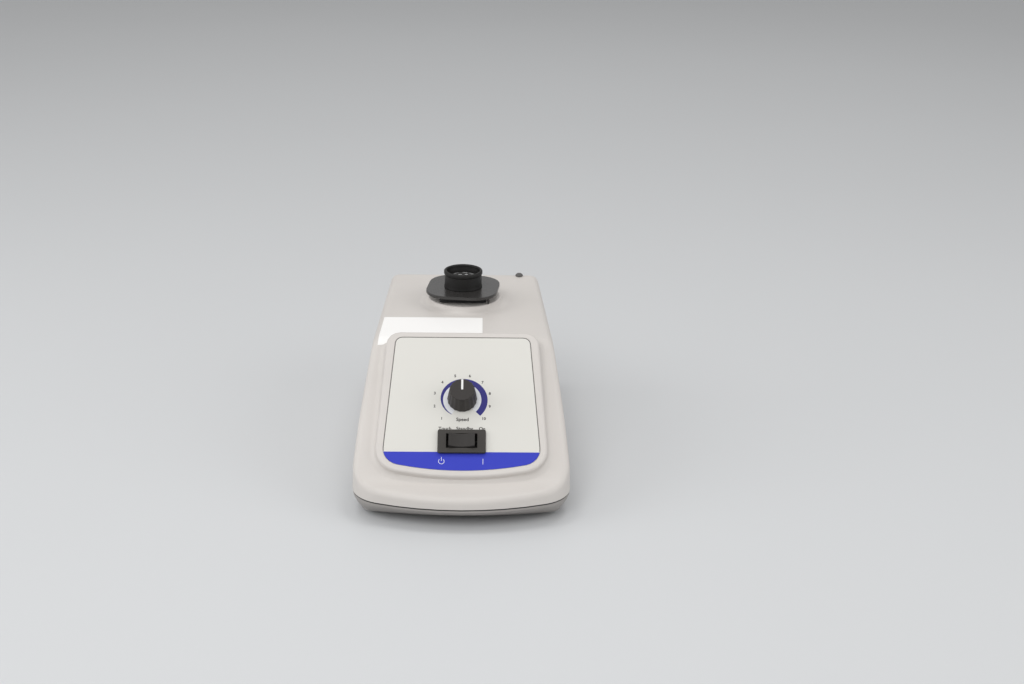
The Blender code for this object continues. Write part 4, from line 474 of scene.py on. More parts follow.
@dataclass(frozen=True)
class BoardLacquer(Finish):
    """Green lacquer over copper tracks."""

    track: Colour = (0.09, 0.33, 0.14)
    pitch: float = 0.0034
    track_edge: float = 0.72
    run: float = 0.012

    def paint(self, bench: NodeBench) -> Any:
        """Paler lines where the tracks run.

        Args:
            bench: the material's node bench.

        Returns:
            The colour over the surface.
        """
        rows = bench.along((1.0, 0.0, 0.0)).wave(self.pitch).above(self.track_edge)
        gaps = bench.noise(self.run, 0.0, bench.stretched((1.0, 0.25, 1.0))).above(0.5)
        return bench.blend(rows * gaps, self.colour, self.track)


class Shade(Enum):
    """Every finish of the mixer."""

    HOUSING = SparkedPlastic("housing_grey", "housing_plastic", (0.610, 0.578, 0.548), 0.44, specular=0.4)
    # the pan's seam shadow depth paints shadow into its top, just under the housing's edge
    PAN = SparkedPlastic(
        "pan_grey", "pan_paint", (0.325, 0.306, 0.292), 0.48, specular=0.4, seam_depth=0.0013
    )
    FILM = Finish(
        "film_grey", "overlay_film", (0.668, 0.656, 0.615), 0.36, specular=0.3, drift=0.01, grain_size=0.0007
    )
    BAND_INK = Finish("band_ink_blue", "overlay_film", (0.036, 0.050, 0.470), 0.36, specular=0.25, drift=0.02)
    ARC_INK = Finish("arc_ink_violet", "overlay_film", (0.036, 0.034, 0.190), 0.36, specular=0.22, drift=0.02)
    PALE_INK = Finish("ring_ink_pale", "overlay_film", (0.700, 0.710, 0.740), 0.36, specular=0.3, drift=0.01)
    GREY_INK = Finish("word_ink_grey", "overlay_film", (0.036, 0.034, 0.033), 0.4, specular=0.2, drift=0.01)
    # painted shadow: a dark line standing for the shade at the edge of the film's recess
    EDGE_INK = Finish("edge_shadow_paint", "overlay_film", (0.120, 0.115, 0.108), 0.4, specular=0.2, drift=0.01)
    WHITE_INK = Finish("symbol_ink_white", "overlay_film", (0.82, 0.82, 0.86), 0.4, drift=0.01)
    PLATE = ScratchedGloss(
        "plate_black", "black_plastic", (0.030, 0.028, 0.027), 0.25, coat=0.12, coat_roughness=0.16,
        specular=0.45, grain_height=0.000003, scratch=0.04,
    )
    KNOB = Finish(
        "knob_charcoal", "black_plastic", (0.038, 0.034, 0.032), 0.42, specular=0.25, unevenness=0.05
    )
    SWITCH = Finish("switch_charcoal", "black_plastic", (0.046, 0.042, 0.038), 0.46, specular=0.25)
    # painted shade: the switch frame's charcoal made darker, so the rocker looks as dim as the frame beside
    # it
    ROCKER = Finish("rocker_charcoal_shaded", "black_plastic", (0.034, 0.031, 0.029), 0.46, specular=0.25)
    CARRIER = Finish("carrier_black", "black_plastic", (0.012, 0.012, 0.013), 0.5, specular=0.3)
    INLET = Finish("inlet_black", "black_plastic", (0.026, 0.026, 0.028), 0.42)
    RUBBER = RubbedRubber(
        "cup_rubber", "black_rubber", (0.010, 0.0095, 0.009), 0.48, specular=0.28, grain_size=0.0004
    )
    FOOT_RUBBER = RubbedRubber("foot_rubber", "black_rubber", (0.028, 0.028, 0.028), 0.66)
    PLUG = RubbedRubber("plug_rubber", "black_rubber", (0.100, 0.097, 0.094), 0.55)
    DISH = ScratchedGloss(
        "dish_gloss", "black_rubber", (0.020, 0.019, 0.018), 0.12, coat=0.6, coat_roughness=0.06,
        grain_height=0.000002,
    )
    POINTER = Finish("pointer_white", "pointer_white", (0.82, 0.82, 0.80), 0.42, drift=0.01)
    PAPER = Finish("label_paper", "housing_plastic", (0.900, 0.888, 0.872), 0.50, specular=0.25, drift=0.01)
    STEEL = BrushedMetal("plain_steel", "steel", (0.56, 0.57, 0.59), 0.34)
    CASTING = Metal("cast_alloy", "cast_aluminium", (0.60, 0.61, 0.62), 0.50, grain_height=0.00006)
    LAMINATION = LaminatedSteel("core_steel", "electrical_steel", (0.28, 0.29, 0.31), 0.45)
    COPPER = WoundCopper("winding_copper", "copper", (0.72, 0.36, 0.20), 0.30, y=0.068)
    BRASS = BrushedMetal("plain_brass", "brass", (0.75, 0.58, 0.30), 0.32)
    BOARD = BoardLacquer("board_lacquer", "circuit_board", (0.030, 0.150, 0.060), 0.35, coat=0.3)

    def material(self) -> bpy.types.Material:
        """The finish's material."""
        return self.value.material()


# Mesh building


class Workpiece:
    """A mesh under construction, which ends as a named piece on one of the bodies."""

    def __init__(self, name: str) -> None:
        """Start an empty mesh, which is to end as a piece of this name."""
        self.name = name
        self.mesh: BMesh = bmesh.new()

    @classmethod
    def copied(cls, name: str, node: bpy.types.Object) -> Workpiece:
        """Start from a copy of a node of the frame, with its loose triangles merged.

        Args:
            name: the finished piece's name.
            node: the node's object.

        Returns:
            The copy.
        """
        piece = cls(name)
        piece.mesh.from_mesh(node.data)
        bmesh.ops.remove_doubles(piece.mesh, verts=piece.mesh.verts, dist=MERGE)
        bmesh.ops.dissolve_degenerate(piece.mesh, edges=piece.mesh.edges, dist=MERGE)
        bmesh.ops.dissolve_limit(piece.mesh, angle_limit=FLAT, verts=piece.mesh.verts, edges=piece.mesh.edges)
        return piece

    def strip(self, first: Sequence[Point], second: Sequence[Point]) -> Workpiece:
        """Add a flat strip between two lines of as many points.

        Args:
            first: the points along one side.
            second: the points along the other.

        Returns:
            The piece.
        """
        sides = [[self.mesh.verts.new((x, y, 0.0)) for x, y in line] for line in (first, second)]
        edges = [self.mesh.edges.new(pair) for side in sides for pair in zip(side, side[1:])]
        bmesh.ops.bridge_loops(self.mesh, edges=edges)
        return self

    def thickened(self, height: float) -> Workpiece:
        """Raise every face into a closed slab.

        Args:
            height: the slab's thickness.

        Returns:
            The piece.
        """
        bmesh.ops.recalc_face_normals(self.mesh, faces=self.mesh.faces)
        raised = bmesh.ops.extrude_face_region(self.mesh, geom=list(self.mesh.faces), use_keep_orig=True)
        tops = [item for item in raised["geom"] if isinstance(item, BMVert)]
        bmesh.ops.translate(self.mesh, verts=tops, vec=(0.0, 0.0, height))
        bmesh.ops.recalc_face_normals(self.mesh, faces=self.mesh.faces)
        return self

    def turned(self, profile: Sequence[Point], steps: int, x: float = 0.0, y: float = 0.0) -> Workpiece:
        """Spin a profile round an upright axis.

        Args:
            profile: radius and height of its points, in order round the section.
            steps: how many facets the full turn has.
            x: the axis's place.
            y: the axis's place.

        Returns:
            The piece.
        """
        points = [self.mesh.verts.new((x + radius, y, height)) for radius, height in profile]
        edges = [self.mesh.edges.new(pair) for pair in zip(points, points[1:])]
        if profile[0][0] > 0.0:
            edges.append(self.mesh.edges.new((points[-1], points[0])))
        bmesh.ops.spin(
            self.mesh, geom=points + edges, cent=(x, y, 0.0), axis=UP, angle=2 * pi, steps=steps,
            use_merge=True,
        )
        bmesh.ops.remove_doubles(self.mesh, verts=self.mesh.verts, dist=MERGE)
        bmesh.ops.recalc_face_normals(self.mesh, faces=self.mesh.faces)
        return self

    def moved(self, matrix: Matrix) -> Workpiece:
        """Put the mesh somewhere else."""
        bmesh.ops.transform(self.mesh, matrix=matrix, verts=self.mesh.verts)
        return self

    def even_normals(self, sharp: float) -> list[Vector]:
        """A normal for each face corner, led by the large faces that meet there without a sharp edge.

        Args:
            sharp: the angle in degrees above which an edge stays sharp.

        Returns:
            The normals, in the order of the faces and their corners.
        """
        self.mesh.normal_update()
        self.mesh.faces.index_update()
        leads: dict[tuple[int, int], Vector] = {}
        for vert in self.mesh.verts:
            for group in smooth_fans(vert, radians(sharp)):
                sums = (loop.face.normal * loop.face.calc_area() * loop.calc_angle() for loop in group)
                lead = sum(sums, Vector()).normalized()
                leads.update({(loop.face.index, vert.index): lead for loop in group})
        return [leads[face.index, loop.vert.index] for face in self.mesh.faces for loop in face.loops]

    def finished(
        self, shade: Shade, body: Body, sharp: float = SHARP, replaces: Sequence[str] = (), even: bool = False
    ) -> bpy.types.Object:
        """Make the object, dress it and let it ride.

        Args:
            shade: its finish.
            body: the body it moves with.
            sharp: the angle in degrees above which an edge stays sharp.
            replaces: nodes of the frame that it stands for.
            even: whether large faces lead the shading.

        Returns:
            The finished piece.
        """
        data = bpy.data.meshes.new(self.name)
        self.mesh.verts.index_update()
        normals = self.even_normals(sharp) if even else []
        self.mesh.to_mesh(data)
        self.mesh.free()
        data.materials.append(shade.material())
        data.shade_smooth()
        data.set_sharp_from_angle(angle=radians(sharp))
        if even:
            data.normals_split_custom_set(normals)
        piece = placed(self.name, data)
        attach(piece, body.value)
        if replaces:
            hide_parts(*replaces)
        LOG.info("%s: %d faces, on %s", self.name, len(data.polygons), body.value)
        return piece


def placed(name: str, data: Any) -> bpy.types.Object:
    """Add an object to the scene.

    Args:
        name: its name.
        data: its mesh, lettering, lamp or camera.

    Returns:
        The object.
    """
    thing = bpy.data.objects.new(name, data)
    bpy.context.scene.collection.objects.link(thing)
    return thing


def ring_of_points(radius: float, start: float, end: float, steps: int) -> list[Point]:
    """Points along an arc from start to end, in degrees clockwise from straight up."""
    angles = (radians(start + (end - start) * step / steps) for step in range(steps + 1))
    return [(radius * sin(angle), radius * cos(angle)) for angle in angles]


def smooth_fans(vert: BMVert, sharp: float) -> list[list[BMLoop]]:
    """The face corners round a point, in groups that no sharp edge divides.

    Args:
        vert: the point.
        sharp: the angle above which an edge divides, in radians.

    Returns:
        The groups.
    """
    left = {loop.face: loop for loop in vert.link_loops}
    fans = []
    while left:
        face, loop = left.popitem()
        fan, faces = [loop], [face]
        for known in faces:
            for edge in known.edges:
                if vert not in edge.verts or edge.calc_face_angle(pi) >= sharp:
                    continue
                for other in edge.link_faces:
                    if other in left:
                        fan.append(left.pop(other))
                        faces.append(other)
        fans.append(fan)
    return fans


def redraw(
    nodes: Nodes, name: str, node: str, shade: Shade, body: Body = Body.CHASSIS, sharp: float = SHARP
) -> None:
    """Stand a merged, evenly shaded copy, under its own name, in for a node of the frame."""
    Workpiece.copied(name, nodes[node]).finished(shade, body, sharp, replaces=[node], even=True)


def panel_frame(joints: Joints) -> Matrix:
    """The panel's own frame at the dial: across, up the slope and out of it.

    Args:
        joints: the frame's joints by name, of which the knob's and the rocker's axes give the slope.

    Returns:
        The frame as a matrix.
    """
    knob, rocker = joints["knob_turn"], joints["rocker_tilt"]
    centre, normal, up = Vector(knob["pos_m"]), Vector(knob["axis"]), Vector(rocker["axis"])
    return Matrix.Translation(centre) @ Matrix((up.cross(normal), up, normal)).transposed().to_4x4()


# The mixer's sub-assemblies


@dataclass
class FilmTaper:
    """Draws in the sides of the film, and of the recess it lies in, more towards the back."""

    nodes: Nodes
    dial: Matrix
    front_y: float = -0.044
    back_y: float = 0.054
    front_share: float = 0.009
    back_share: float = 0.034
    reach: float = 0.0011
    film: KDTree = field(init=False)

    def __post_init__(self) -> None:
        """Note where the film's points lie."""
        points = [vert.co.copy() for vert in self.nodes["panel_overlay"].data.vertices]
        self.film = KDTree(len(points))
        for index, point in enumerate(points):
            self.film.insert(point, index)
        self.film.balance()

    def applied(self, piece: Workpiece) -> Workpiece:
        """Move the piece's points that belong to the film or border on it.

        Args:
            piece: the housing or the film.

        Returns:
            The piece.
        """
        for vert in piece.mesh.verts:
            if self.film.find(vert.co)[2] > self.reach:
                continue
            place = self.dial.inverted() @ vert.co
            along = min(max((place.y - self.front_y) / (self.back_y - self.front_y), 0.0), 1.0)
            place.x *= 1.0 - self.front_share - (self.back_share - self.front_share) * along
            vert.co = self.dial @ place
        return piece


@dataclass
class Shell:
    """The moulded housing, the pan below it, and the fittings that sit in them."""

    nodes: Nodes
    taper: FilmTaper

    def build(self) -> None:
        """Redraw the visible mouldings with even shading."""
        housing = self.taper.applied(Workpiece.copied("housing_moulding", self.nodes["top_housing"]))
        housing.finished(Shade.HOUSING, Body.CHASSIS, replaces=["top_housing"], even=True)
        redraw(self.nodes, "pan_moulding", "base_pan", Shade.PAN)
        redraw(self.nodes, "deck_plug_moulding", "deck_plug", Shade.PLUG)
        redraw(self.nodes, "inlet_moulding", "power_inlet", Shade.INLET)
        for foot in ("foot_front_left", "foot_front_right", "foot_rear_left", "foot_rear_right"):
            redraw(self.nodes, f"{foot}_moulding", foot, Shade.FOOT_RUBBER)


@dataclass
class DeckLabel:
    """A blank white sticker on the deck, whose left end runs down past the raised panel's corner."""

    nodes: Nodes
    right: float = 0.0150
    back: float = 0.0275
    front: float = -0.0196
    strip_front: float = -0.0251
    left_at_back: float = -0.0632
    left_at_front: float = -0.0656
    wall_x: float = -0.0580
    corner_y: float = -0.0287
    corner_wide: float = 0.0107
    corner_long: float = 0.0091
    thickness: float = 0.00012
    lift: float = 0.00004
    pitch: float = 0.0006
    start: float = 0.2
    smoothings: int = 2
    smoothing: float = 0.4

    def build(self) -> None:
        """Cut the sticker's outline from a fine grid, lay it on the housing and give it its thickness."""
        housing = Workpiece.copied("housing_skin", self.nodes["top_housing"])
        skin = BVHTree.FromBMesh(housing.mesh)
        housing.mesh.free()
        sheet = Workpiece("deck_label")
        self.cut(sheet.mesh)
        for vert in sheet.mesh.verts:
            found, normal, _, _ = skin.ray_cast(Vector((vert.co.x, vert.co.y, self.start)), -Vector(UP))
            if found is not None:
                vert.co = found + normal * self.lift
        inner = [vert for vert in sheet.mesh.verts if not vert.is_boundary]
        for _ in range(self.smoothings):
            bmesh.ops.smooth_vert(sheet.mesh, verts=inner, factor=self.smoothing, use_axis_z=True)
        sheet.thickened(self.thickness)
        sheet.finished(Shade.PAPER, Body.CHASSIS)

    def cut(self, mesh: BMesh) -> None:
        """Make the flat grid: a wide part behind the panel, and a strip beside its corner.

        Args:
            mesh: the sticker's empty mesh.
        """
        wide, long = self.right - self.left_at_back, self.back - self.strip_front
        columns, rows = round(wide / self.pitch), round(long / self.pitch)
        bmesh.ops.create_grid(mesh, x_segments=columns, y_segments=rows, size=0.5)
        strip_columns = round((self.wall_x + self.corner_wide - self.left_at_back) / wide * columns)
        front_row = round((self.front - self.strip_front) / long * rows)
        spare = []
        for face in mesh.faces:
            middle = face.calc_center_median()
            if (middle.x + 0.5) * columns > strip_columns and (middle.y + 0.5) * rows < front_row:
                spare.append(face)
        bmesh.ops.delete(mesh, geom=spare, context="FACES")
        for vert in mesh.verts:
            y = self.strip_front + (vert.co.y + 0.5) * long
            left = self.left_edge(y)
            column = (vert.co.x + 0.5) * columns
            if (vert.co.y + 0.5) * rows < front_row - 0.5:
                x = left + (self.wall_edge(y) - left) * column / strip_columns
            else:
                x = left + (self.right - left) * column / columns
            vert.co = Vector((x, y, 0.0))

    def left_edge(self, y: float) -> float:
        """Where the sticker's left edge lies, which follows the housing's side."""
        share = (self.back - y) / (self.back - self.strip_front)
        return self.left_at_back + (self.left_at_front - self.left_at_back) * share

    def wall_edge(self, y: float) -> float:
        """Where the strip meets the raised panel's side and its rounded corner."""
        share = min(max((y - self.corner_y) / self.corner_long, 0.0), 1.0)
        return self.wall_x + self.corner_wide * (1 - sqrt(1 - share * share))


@dataclass
class PrintedPanel:
    """The film on the panel, everything printed on it and a painted shadow along its edge, placed from the
    dial's centre.
    """

    nodes: Nodes
    dial: Matrix
    taper: FilmTaper
    switch_y: float
    band_edge: float = -0.0443
    ink: float = 0.00003
    edge_line: float = 0.0004
    edge_reach: float = 0.03
    arc_inner: float = 0.0143
    arc_thin: float = 0.0004
    arc_widest: float = 0.0048
    arc_start: float = -148.0
    arc_end: float = 135.0
    arc_steps: int = 76
    ring_inner: float = 0.0104
    print_lower: float = 0.0005
    number_radius: float = 0.0213
    number_turn: float = 135.0
    number_size: float = 0.0031
    number_weight: float = 0.030
    number_step_out: float = 0.0011
    number_drop: float = 0.0001
    end_number_drop: float = 0.0009
    word_size: float = 0.0037
    wide_word_size: float = 0.003922
    word_weight: float = 0.022
    speed: Point = (0.0004, -0.0173)
    words_above_switch: float = 0.0114
    touch_x: float = -0.0125
    standby_x: float = 0.0020
    on_x: float = 0.0150
    sign: Point = (-0.0147, -0.0521)
    sign_outer: float = 0.00225
    sign_inner: float = 0.0019
    sign_gap: float = 40.0
    sign_bar_rise: float = 0.0020
    sign_bar_length: float = 0.0032
    on_bar_x: float = 0.0157
    on_bar_length: float = 0.0046
    half_bar: float = 0.00017

    def build(self) -> None:
        """Lay the film, then the painted shadow along its edge and each ink on it."""
        self.film("film_sheet").finished(Shade.FILM, Body.CHASSIS, replaces=["panel_overlay"])
        self.print_edge()
        self.print_band()
        self.print_arc()
        self.print_numbers()
        self.print_words()
        self.print_symbols()

    def film(self, name: str) -> Workpiece:
        """A copy of the film with its sides drawn in."""
        return self.taper.applied(Workpiece.copied(name, self.nodes["panel_overlay"]))

    def face(self, name: str, keep_behind: bool) -> Workpiece:
        """The film's printed face, flat in the dial's frame, on one side of the band's edge.

        Args:
            name: the piece's name.
            keep_behind: whether the part behind the band's edge is kept, or the part in front.

        Returns:
            The face.
        """
        part = self.film(name).moved(self.dial.inverted())
        spare = [
            face
            for face in part.mesh.faces
            if face.normal.z < FACING or face.calc_center_median().z < -self.ink
        ]
        bmesh.ops.delete(part.mesh, geom=spare, context="FACES")
        everything = part.mesh.verts[:] + part.mesh.edges[:] + part.mesh.faces[:]
        bmesh.ops.bisect_plane(
            part.mesh, geom=everything, plane_co=(0.0, self.band_edge, 0.0), plane_no=(0.0, 1.0, 0.0),
            clear_outer=not keep_behind, clear_inner=keep_behind,
        )
        return part

    def print_edge(self) -> None:
        """A painted shadow: a fine dark line along the film's edge, behind the band, standing for the shade
        where the film meets its recess.
        """
        edge = self.face("printed_edge", keep_behind=True)
        ring = bmesh.ops.inset_region(
            edge.mesh, faces=edge.mesh.faces[:], thickness=self.edge_line, use_boundary=True
        )["faces"]
        line = {face for face in ring if self.on_film_edge(face)}
        spare = [face for face in edge.mesh.faces if face not in line]
        bmesh.ops.delete(edge.mesh, geom=spare, context="FACES")
        # the kept ring along the sides and back is painted shadow of the recess's edge, not print
        self.laid(edge.thickened(self.ink), Shade.EDGE_INK)

    def on_film_edge(self, face: BMFace) -> bool:
        """Whether a face of the inset ring runs along the film's sides or back.

        Args:
            face: a face of the ring.

        Returns:
            False beside the band and round the holes.
        """
        middle = face.calc_center_median()
        beside_band = all(vert.co.y < self.band_edge + 1.5 * self.edge_line for vert in face.verts)
        return not beside_band and max(abs(middle.x), middle.y) > self.edge_reach

    def laid(
        self, piece: Workpiece, shade: Shade, x: float = 0.0, y: float = 0.0, height: float = 0.0
    ) -> None:
        """Finish a flat piece at a place across the panel, up it, and out of it."""
        piece.moved(self.dial @ Matrix.Translation((x, y, height))).finished(shade, Body.CHASSIS)

    def print_band(self) -> None:
        """The blue band: the film's own face, cut off at the band's edge."""
        self.laid(self.face("printed_band", keep_behind=False).thickened(self.ink), Shade.BAND_INK)

    def print_arc(self) -> None:
        """The arc round the dial, which widens from 1 to 10, and the pale ring inside it."""
        steps = self.arc_steps
        inner = ring_of_points(self.arc_inner, self.arc_start, self.arc_end, steps)
        hub = ring_of_points(self.ring_inner, self.arc_start, self.arc_end, steps)
        outer = []
        for step, (x, y) in enumerate(inner):
            width = self.arc_thin + (self.arc_widest - self.arc_thin) * sin(pi / 2 * step / steps)
            outer.append((x * (1 + width / self.arc_inner), y * (1 + width / self.arc_inner)))
        for name, far, near, shade in (
            ("printed_arc", outer, inner, Shade.ARC_INK),
            ("printed_ring", inner, hub, Shade.PALE_INK),
        ):
            self.laid(Workpiece(name).strip(far, near).thickened(self.ink), shade, y=-self.print_lower)

    def letter(self, name: str, words: str, size: float, weight: float, place: Point) -> None:
        """Print a line of lettering.

        Args:
            name: the piece's name.
            words: what it says.
            size: the height of the line.
            weight: how far each stroke is swelled, as a share of the size.
            place: its middle, across and up the panel.
        """
        curve = bpy.data.curves.new(name, "FONT")
        curve.body = words
        curve.size = size
        curve.offset = weight * size
        curve.align_x = "CENTER"
        curve.align_y = "CENTER"
        curve.resolution_u = 3
        holder = placed(f"{name}_type", curve)
        graph = bpy.context.evaluated_depsgraph_get()
        flat = bpy.data.meshes.new_from_object(holder.evaluated_get(graph))
        bpy.data.objects.remove(holder)
        line = Workpiece(name)
        line.mesh.from_mesh(flat)
        bmesh.ops.remove_doubles(line.mesh, verts=line.mesh.verts, dist=MERGE)
        self.laid(line.thickened(self.ink), Shade.GREY_INK, *place)

    def print_numbers(self) -> None:
        """The numbers 1 to 10 round the dial."""
        places = ring_of_points(self.number_radius, -self.number_turn, self.number_turn, 9)
        for number, (x, y) in enumerate(places, start=1):
            at_end = number in (1, 10)
            across = x + (self.number_step_out if number == 10 else 0.0)
            drop = self.print_lower + (self.end_number_drop if at_end else self.number_drop)
            name = f"dial_number_{number}"
            self.letter(name, str(number), self.number_size, self.number_weight, (across, y - drop))

    def print_words(self) -> None:
        """The word under the dial and the three over the switch."""
        height = self.switch_y + self.words_above_switch
        for name, word, size, spot in (
            ("dial_word", "Speed", self.wide_word_size, self.speed),
            ("switch_word_touch", "Touch", self.word_size, (self.touch_x, height)),
            ("switch_word_standby", "Standby", self.wide_word_size, (self.standby_x, height)),
            ("switch_word_on", "On", self.word_size, (self.on_x, height)),
        ):
            self.letter(name, word, size, self.word_weight, spot)

    def print_symbols(self) -> None:
        """The standby sign and the on bar in the blue band."""
        x, y = self.sign
        outer, inner = (
            ring_of_points(radius, self.sign_gap, 360.0 - self.sign_gap, 28)
            for radius in (self.sign_outer, self.sign_inner)
        )
        ring = Workpiece("standby_ring").strip(outer, inner).thickened(self.ink)
        self.laid(ring, Shade.WHITE_INK, x, y, self.ink)
        self.bar("standby_bar", x, y + self.sign_bar_rise, self.sign_bar_length)
        self.bar("on_bar", self.on_bar_x, y, self.on_bar_length)

    def bar(self, name: str, x: float, y: float, length: float) -> None:
        """A short white stroke up the panel.

        Args:
            name: the piece's name.
            x: its place across the panel.
            y: its middle, up the panel.
            length: how long it is.
        """
        across, up = self.half_bar, length / 2
        stroke = Workpiece(name).strip([(-across, -up), (across, -up)], [(-across, up), (across, up)])
        self.laid(stroke.thickened(self.ink), Shade.WHITE_INK, x, y, self.ink)


@dataclass
class Controls:
    """The knob and the rocker switch."""

    nodes: Nodes
    flute_sharp: float = 40.0

    def build(self) -> None:
        """Redraw the knob, its pointer, the switch's frame and its rocker."""
        redraw(self.nodes, "knob_moulding", "speed_knob", Shade.KNOB, Body.KNOB, self.flute_sharp)
        redraw(self.nodes, "pointer_line", "knob_pointer", Shade.POINTER, Body.KNOB)
        redraw(self.nodes, "switch_frame_moulding", "switch_frame", Shade.SWITCH)
        redraw(self.nodes, "rocker_moulding", "switch_rocker", Shade.ROCKER, Body.ROCKER)


@dataclass
class Head:
    """The cup, its dished insert and the plate, about the crank's axis."""

    nodes: Nodes
    joints: Joints
    steps: int = 96
    turned_sharp: float = 50.0
    clearance: float = 0.0003
    wall_inset: float = 0.0006
    bead_drop: float = 0.0027
    mouth: float = 0.0023
    lip_steps: int = 12
    foot_swell: float = 0.0004
    web: float = 0.0012
    screw_hole: float = 0.0023
    screw_sink: float = 0.0039
    dish_depth: float = 0.0024
    dish_lip: float = 0.0007
    dish_turn_up: int = 8
    dish_steps: int = 32

    def build(self) -> None:
        """Turn the cup and the insert finely, and redraw the plate and the carrier."""
        self.turn_cup()
        self.turn_dish()
        redraw(self.nodes, "plate_moulding", "platform_plate", Shade.PLATE, Body.HEAD)
        redraw(self.nodes, "carrier_moulding", "drive_carrier", Shade.CARRIER, Body.HEAD)

    def span(self, node: str) -> tuple[float, float, float]:
        """The bottom, top and radius of a round node."""
        low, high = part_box(node)
        return low.z, high.z, (high.x - low.x) / 2

    def turn(self, name: str, profile: Sequence[Point], shade: Shade, node: str) -> None:
        """Spin a profile about the crank's axis and stand it in for a node.

        Args:
            name: the piece's name.
            profile: radius and height of its points.
            shade: its finish.
            node: the node that it stands for.
        """
        x, y, _ = self.joints["head_orbit"]["pos_m"]
        piece = Workpiece(name).turned(profile, self.steps, x, y)
        piece.finished(shade, Body.HEAD, self.turned_sharp, replaces=[node])

    def turn_cup(self) -> None:
        """The cup: a soft bead under a rounded lip, a groove, and a foot that swells a little."""
        bottom, top, outer = self.span("rubber_cup")
        insert_bottom, _, insert_radius = self.span("cup_insert")
        floor, bore = insert_bottom - self.clearance, insert_radius + self.clearance
        wall, mouth = outer - self.wall_inset, outer - self.mouth
        lip_middle, lip_round = (mouth + outer) / 2, (outer - mouth) / 2
        bead = top - self.bead_drop
        angles = (pi - pi * step / self.lip_steps for step in range(self.lip_steps + 1))
        profile = [(lip_middle + lip_round * cos(turn), top - lip_round * (1 - sin(turn))) for turn in angles]
        profile += [
            (outer, bead + 0.0003),
            (outer - 0.0001, bead - 0.0002),
            (outer - 0.0003, bead - 0.0005),
            (wall - 0.0001, bead - 0.0009),
            (wall - 0.0001, bead - 0.0013),
            (wall, bead - 0.0020),
            (wall, bottom + 0.0022),
            (wall + self.foot_swell / 2, bottom + 0.0010),
            (wall + self.foot_swell, bottom + 0.0002),
            (wall + self.foot_swell, bottom),
            (self.screw_hole, bottom),
            (self.screw_hole, bottom + self.web),
            (self.screw_sink, bottom + self.web),
            (self.screw_sink, floor),
            (bore, floor),
            (bore, bead - 0.0018),
            (mouth - 0.0001, bead - 0.0006),
        ]
        self.turn("cup_moulding", profile, Shade.RUBBER, "rubber_cup")

    def turn_dish(self) -> None:
        """The insert: a shallow polished dish that turns up into a narrow rim."""
        bottom, rim, radius = self.span("cup_insert")
        reach = radius - self.dish_lip
        shares = [sin(pi / 2 * step / self.dish_steps) for step in range(self.dish_steps + 1)]
        depths = [self.dish_depth * (1 - share**self.dish_turn_up) for share in shares]
        profile = [(reach * share, rim - depth) for share, depth in zip(shares, depths)]
        profile += [
            (reach + 0.0004, rim),
            (radius - 0.0001, rim - 0.00005),
            (radius, rim - 0.0002),
            (radius, bottom),
            (0.0, bottom),
        ]
        self.turn("dish_moulding", profile, Shade.DISH, "cup_insert")


@dataclass
class Works:
    """The drive, its mounting and everything else inside, which keep their shapes and get their finishes."""

    nodes: Nodes
    shades: dict[Shade, tuple[str, ...]] = field(
        default_factory=lambda: {
            Shade.STEEL: (
                "ballast_plate", "mount_plate", "motor_shaft", "eccentric_hub", "upper_bearing",
                "lower_bearing", "carrier_bearing", "head_screw", "board_screw", "mount_screw", "base_screw",
                "motor_bolt", "guide_pin", "support_column", "potentiometer", "pot_shaft",
            ),
            Shade.CASTING: ("upper_bracket", "lower_bracket", "heat_sink"),
            Shade.LAMINATION: ("stator_core", "rotor_core"),
            Shade.COPPER: ("stator_windings",),
            Shade.BRASS: ("counterweight", "pot_nut"),
            Shade.BOARD: ("control_board",),
            Shade.CARRIER: ("cooling_fan", "guide_plate"),
        }
    )

    def build(self) -> None:
        """Dress each node by the start of its name."""
        for shade, starts in self.shades.items():
            for name, node in self.nodes.items():
                if name.startswith(starts):
                    node.data.materials.clear()
                    node.data.materials.append(shade.material())
                    LOG.info("%s: %s", name, shade.value.title)


# The studio


@dataclass(frozen=True)
class Lamp:
    """A square soft lamp aimed at the mixer."""

    name: str
    place: Place
    size: float
    power: float
    aim: Place = (0.0, 0.0, 0.06)

    def hang(self) -> None:
        """Add the lamp to the scene."""
        lamp = bpy.data.lights.new(self.name, "AREA")
        lamp.shape = "SQUARE"
        lamp.size = self.size
        lamp.energy = self.power
        holder = placed(self.name, lamp)
        holder.location = self.place
        down = Vector(self.aim) - Vector(self.place)
        holder.rotation_euler = down.to_track_quat("-Z", "Y").to_euler()


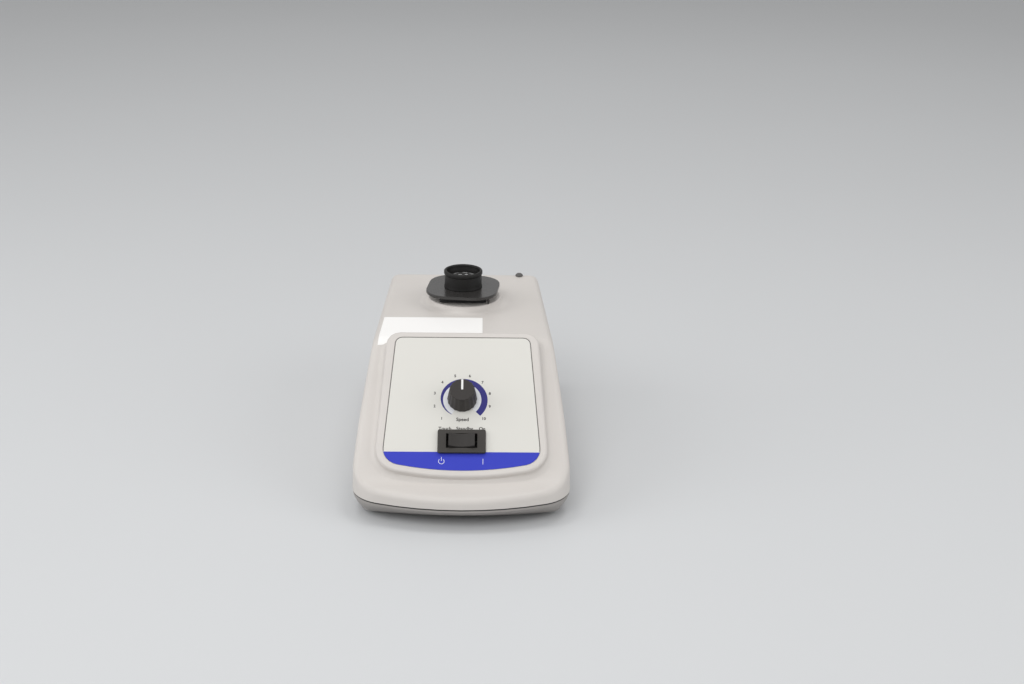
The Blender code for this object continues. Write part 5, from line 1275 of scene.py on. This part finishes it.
@dataclass
class Studio:
    """A plain pale floor, soft lamps, and the camera."""

    lamps: tuple[Lamp, ...] = (
        Lamp("key_lamp", (-0.5, -1.5, 1.5), 1.2, 13.6),
        Lamp("left_lamp", (-1.6, -0.3, 0.9), 1.4, 10.5),
        Lamp("right_lamp", (1.5, -0.6, 0.9), 1.4, 8.5),
        Lamp("top_lamp_left", (-0.42, 0.1, 1.85), 0.4, 3.4),
        Lamp("top_lamp_right", (0.42, 0.1, 1.85), 0.4, 3.4),
        Lamp("back_lamp", (0.2, 1.5, 1.3), 1.6, 2.0),
    )
    floor_size: float = 9.0
    floor_roughness: float = 0.55
    floor_colour: Colour = (0.62, 0.63, 0.64)
    world_colour: Colour = (0.83, 0.83, 0.83)
    world_strength: float = 0.55
    camera_place: Place = (0.00932083, -1.18507315, 0.54047054)
    camera_turn: Place = (69.32083, -0.91264, -1.05302)
    lens: float = 56.6802
    sensor: float = 36.0
    camera_reach: float = 50.0

    def build(self) -> None:
        """Set up everything round the mixer."""
        self.lay_floor()
        self.light_world()
        for lamp in self.lamps:
            lamp.hang()
        self.set_camera()
        bpy.context.scene.view_settings.view_transform = "Standard"

    def lay_floor(self) -> None:
        """A single large sheet under the mixer."""
        floor = Workpiece("studio_floor")
        bmesh.ops.create_grid(floor.mesh, x_segments=2, y_segments=2, size=self.floor_size / 2)
        data = bpy.data.meshes.new("studio_floor")
        floor.mesh.to_mesh(data)
        floor.mesh.free()
        bench = NodeBench("floor_paint")
        bench.shader.inputs["Roughness"].default_value = self.floor_roughness
        cloud = bench.noise(0.5, 2.0)
        paint = bench.blend(cloud, scaled(self.floor_colour, 0.985), scaled(self.floor_colour, 1.015))
        bench.feed(bench.shader.inputs["Base Color"], paint)
        data.materials.append(bench.material)
        placed("studio_floor", data)

    def light_world(self) -> None:
        """An even sky."""
        world = bpy.data.worlds.new("studio_sky")
        world.use_nodes = True
        sky = world.node_tree.nodes["Background"]
        sky.inputs["Color"].default_value = (*self.world_colour, 1.0)
        sky.inputs["Strength"].default_value = self.world_strength
        bpy.context.scene.world = world

    def set_camera(self) -> None:
        """The camera at the photograph's viewpoint."""
        eye = bpy.data.cameras.new("photo_camera")
        eye.sensor_fit = "HORIZONTAL"
        eye.sensor_width = self.sensor
        eye.lens = self.lens
        eye.clip_end = self.camera_reach
        holder = placed("photo_camera", eye)
        holder.location = self.camera_place
        holder.rotation_euler = [radians(angle) for angle in self.camera_turn]
        bpy.context.scene.camera = holder


def main() -> None:
    """Load the frame, dress the mixer, and set up the studio round it."""
    logging.basicConfig(level=logging.INFO, format="%(message)s")
    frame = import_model()
    nodes = frame["nodes"]
    joints = {joint["name"]: joint for joint in frame["joints"]}
    dial = panel_frame(joints)
    switch_y = (dial.inverted() @ Vector(joints["rocker_tilt"]["pos_m"])).y
    taper = FilmTaper(nodes, dial)
    panel = PrintedPanel(nodes, dial, taper, switch_y)
    head = Head(nodes, joints)
    for assembly in (Shell(nodes, taper), DeckLabel(nodes), panel, Controls(nodes), head, Works(nodes)):
        assembly.build()
        LOG.info("built %s", type(assembly).__name__)
    Studio().build()


if __name__ == "__main__":
    main()
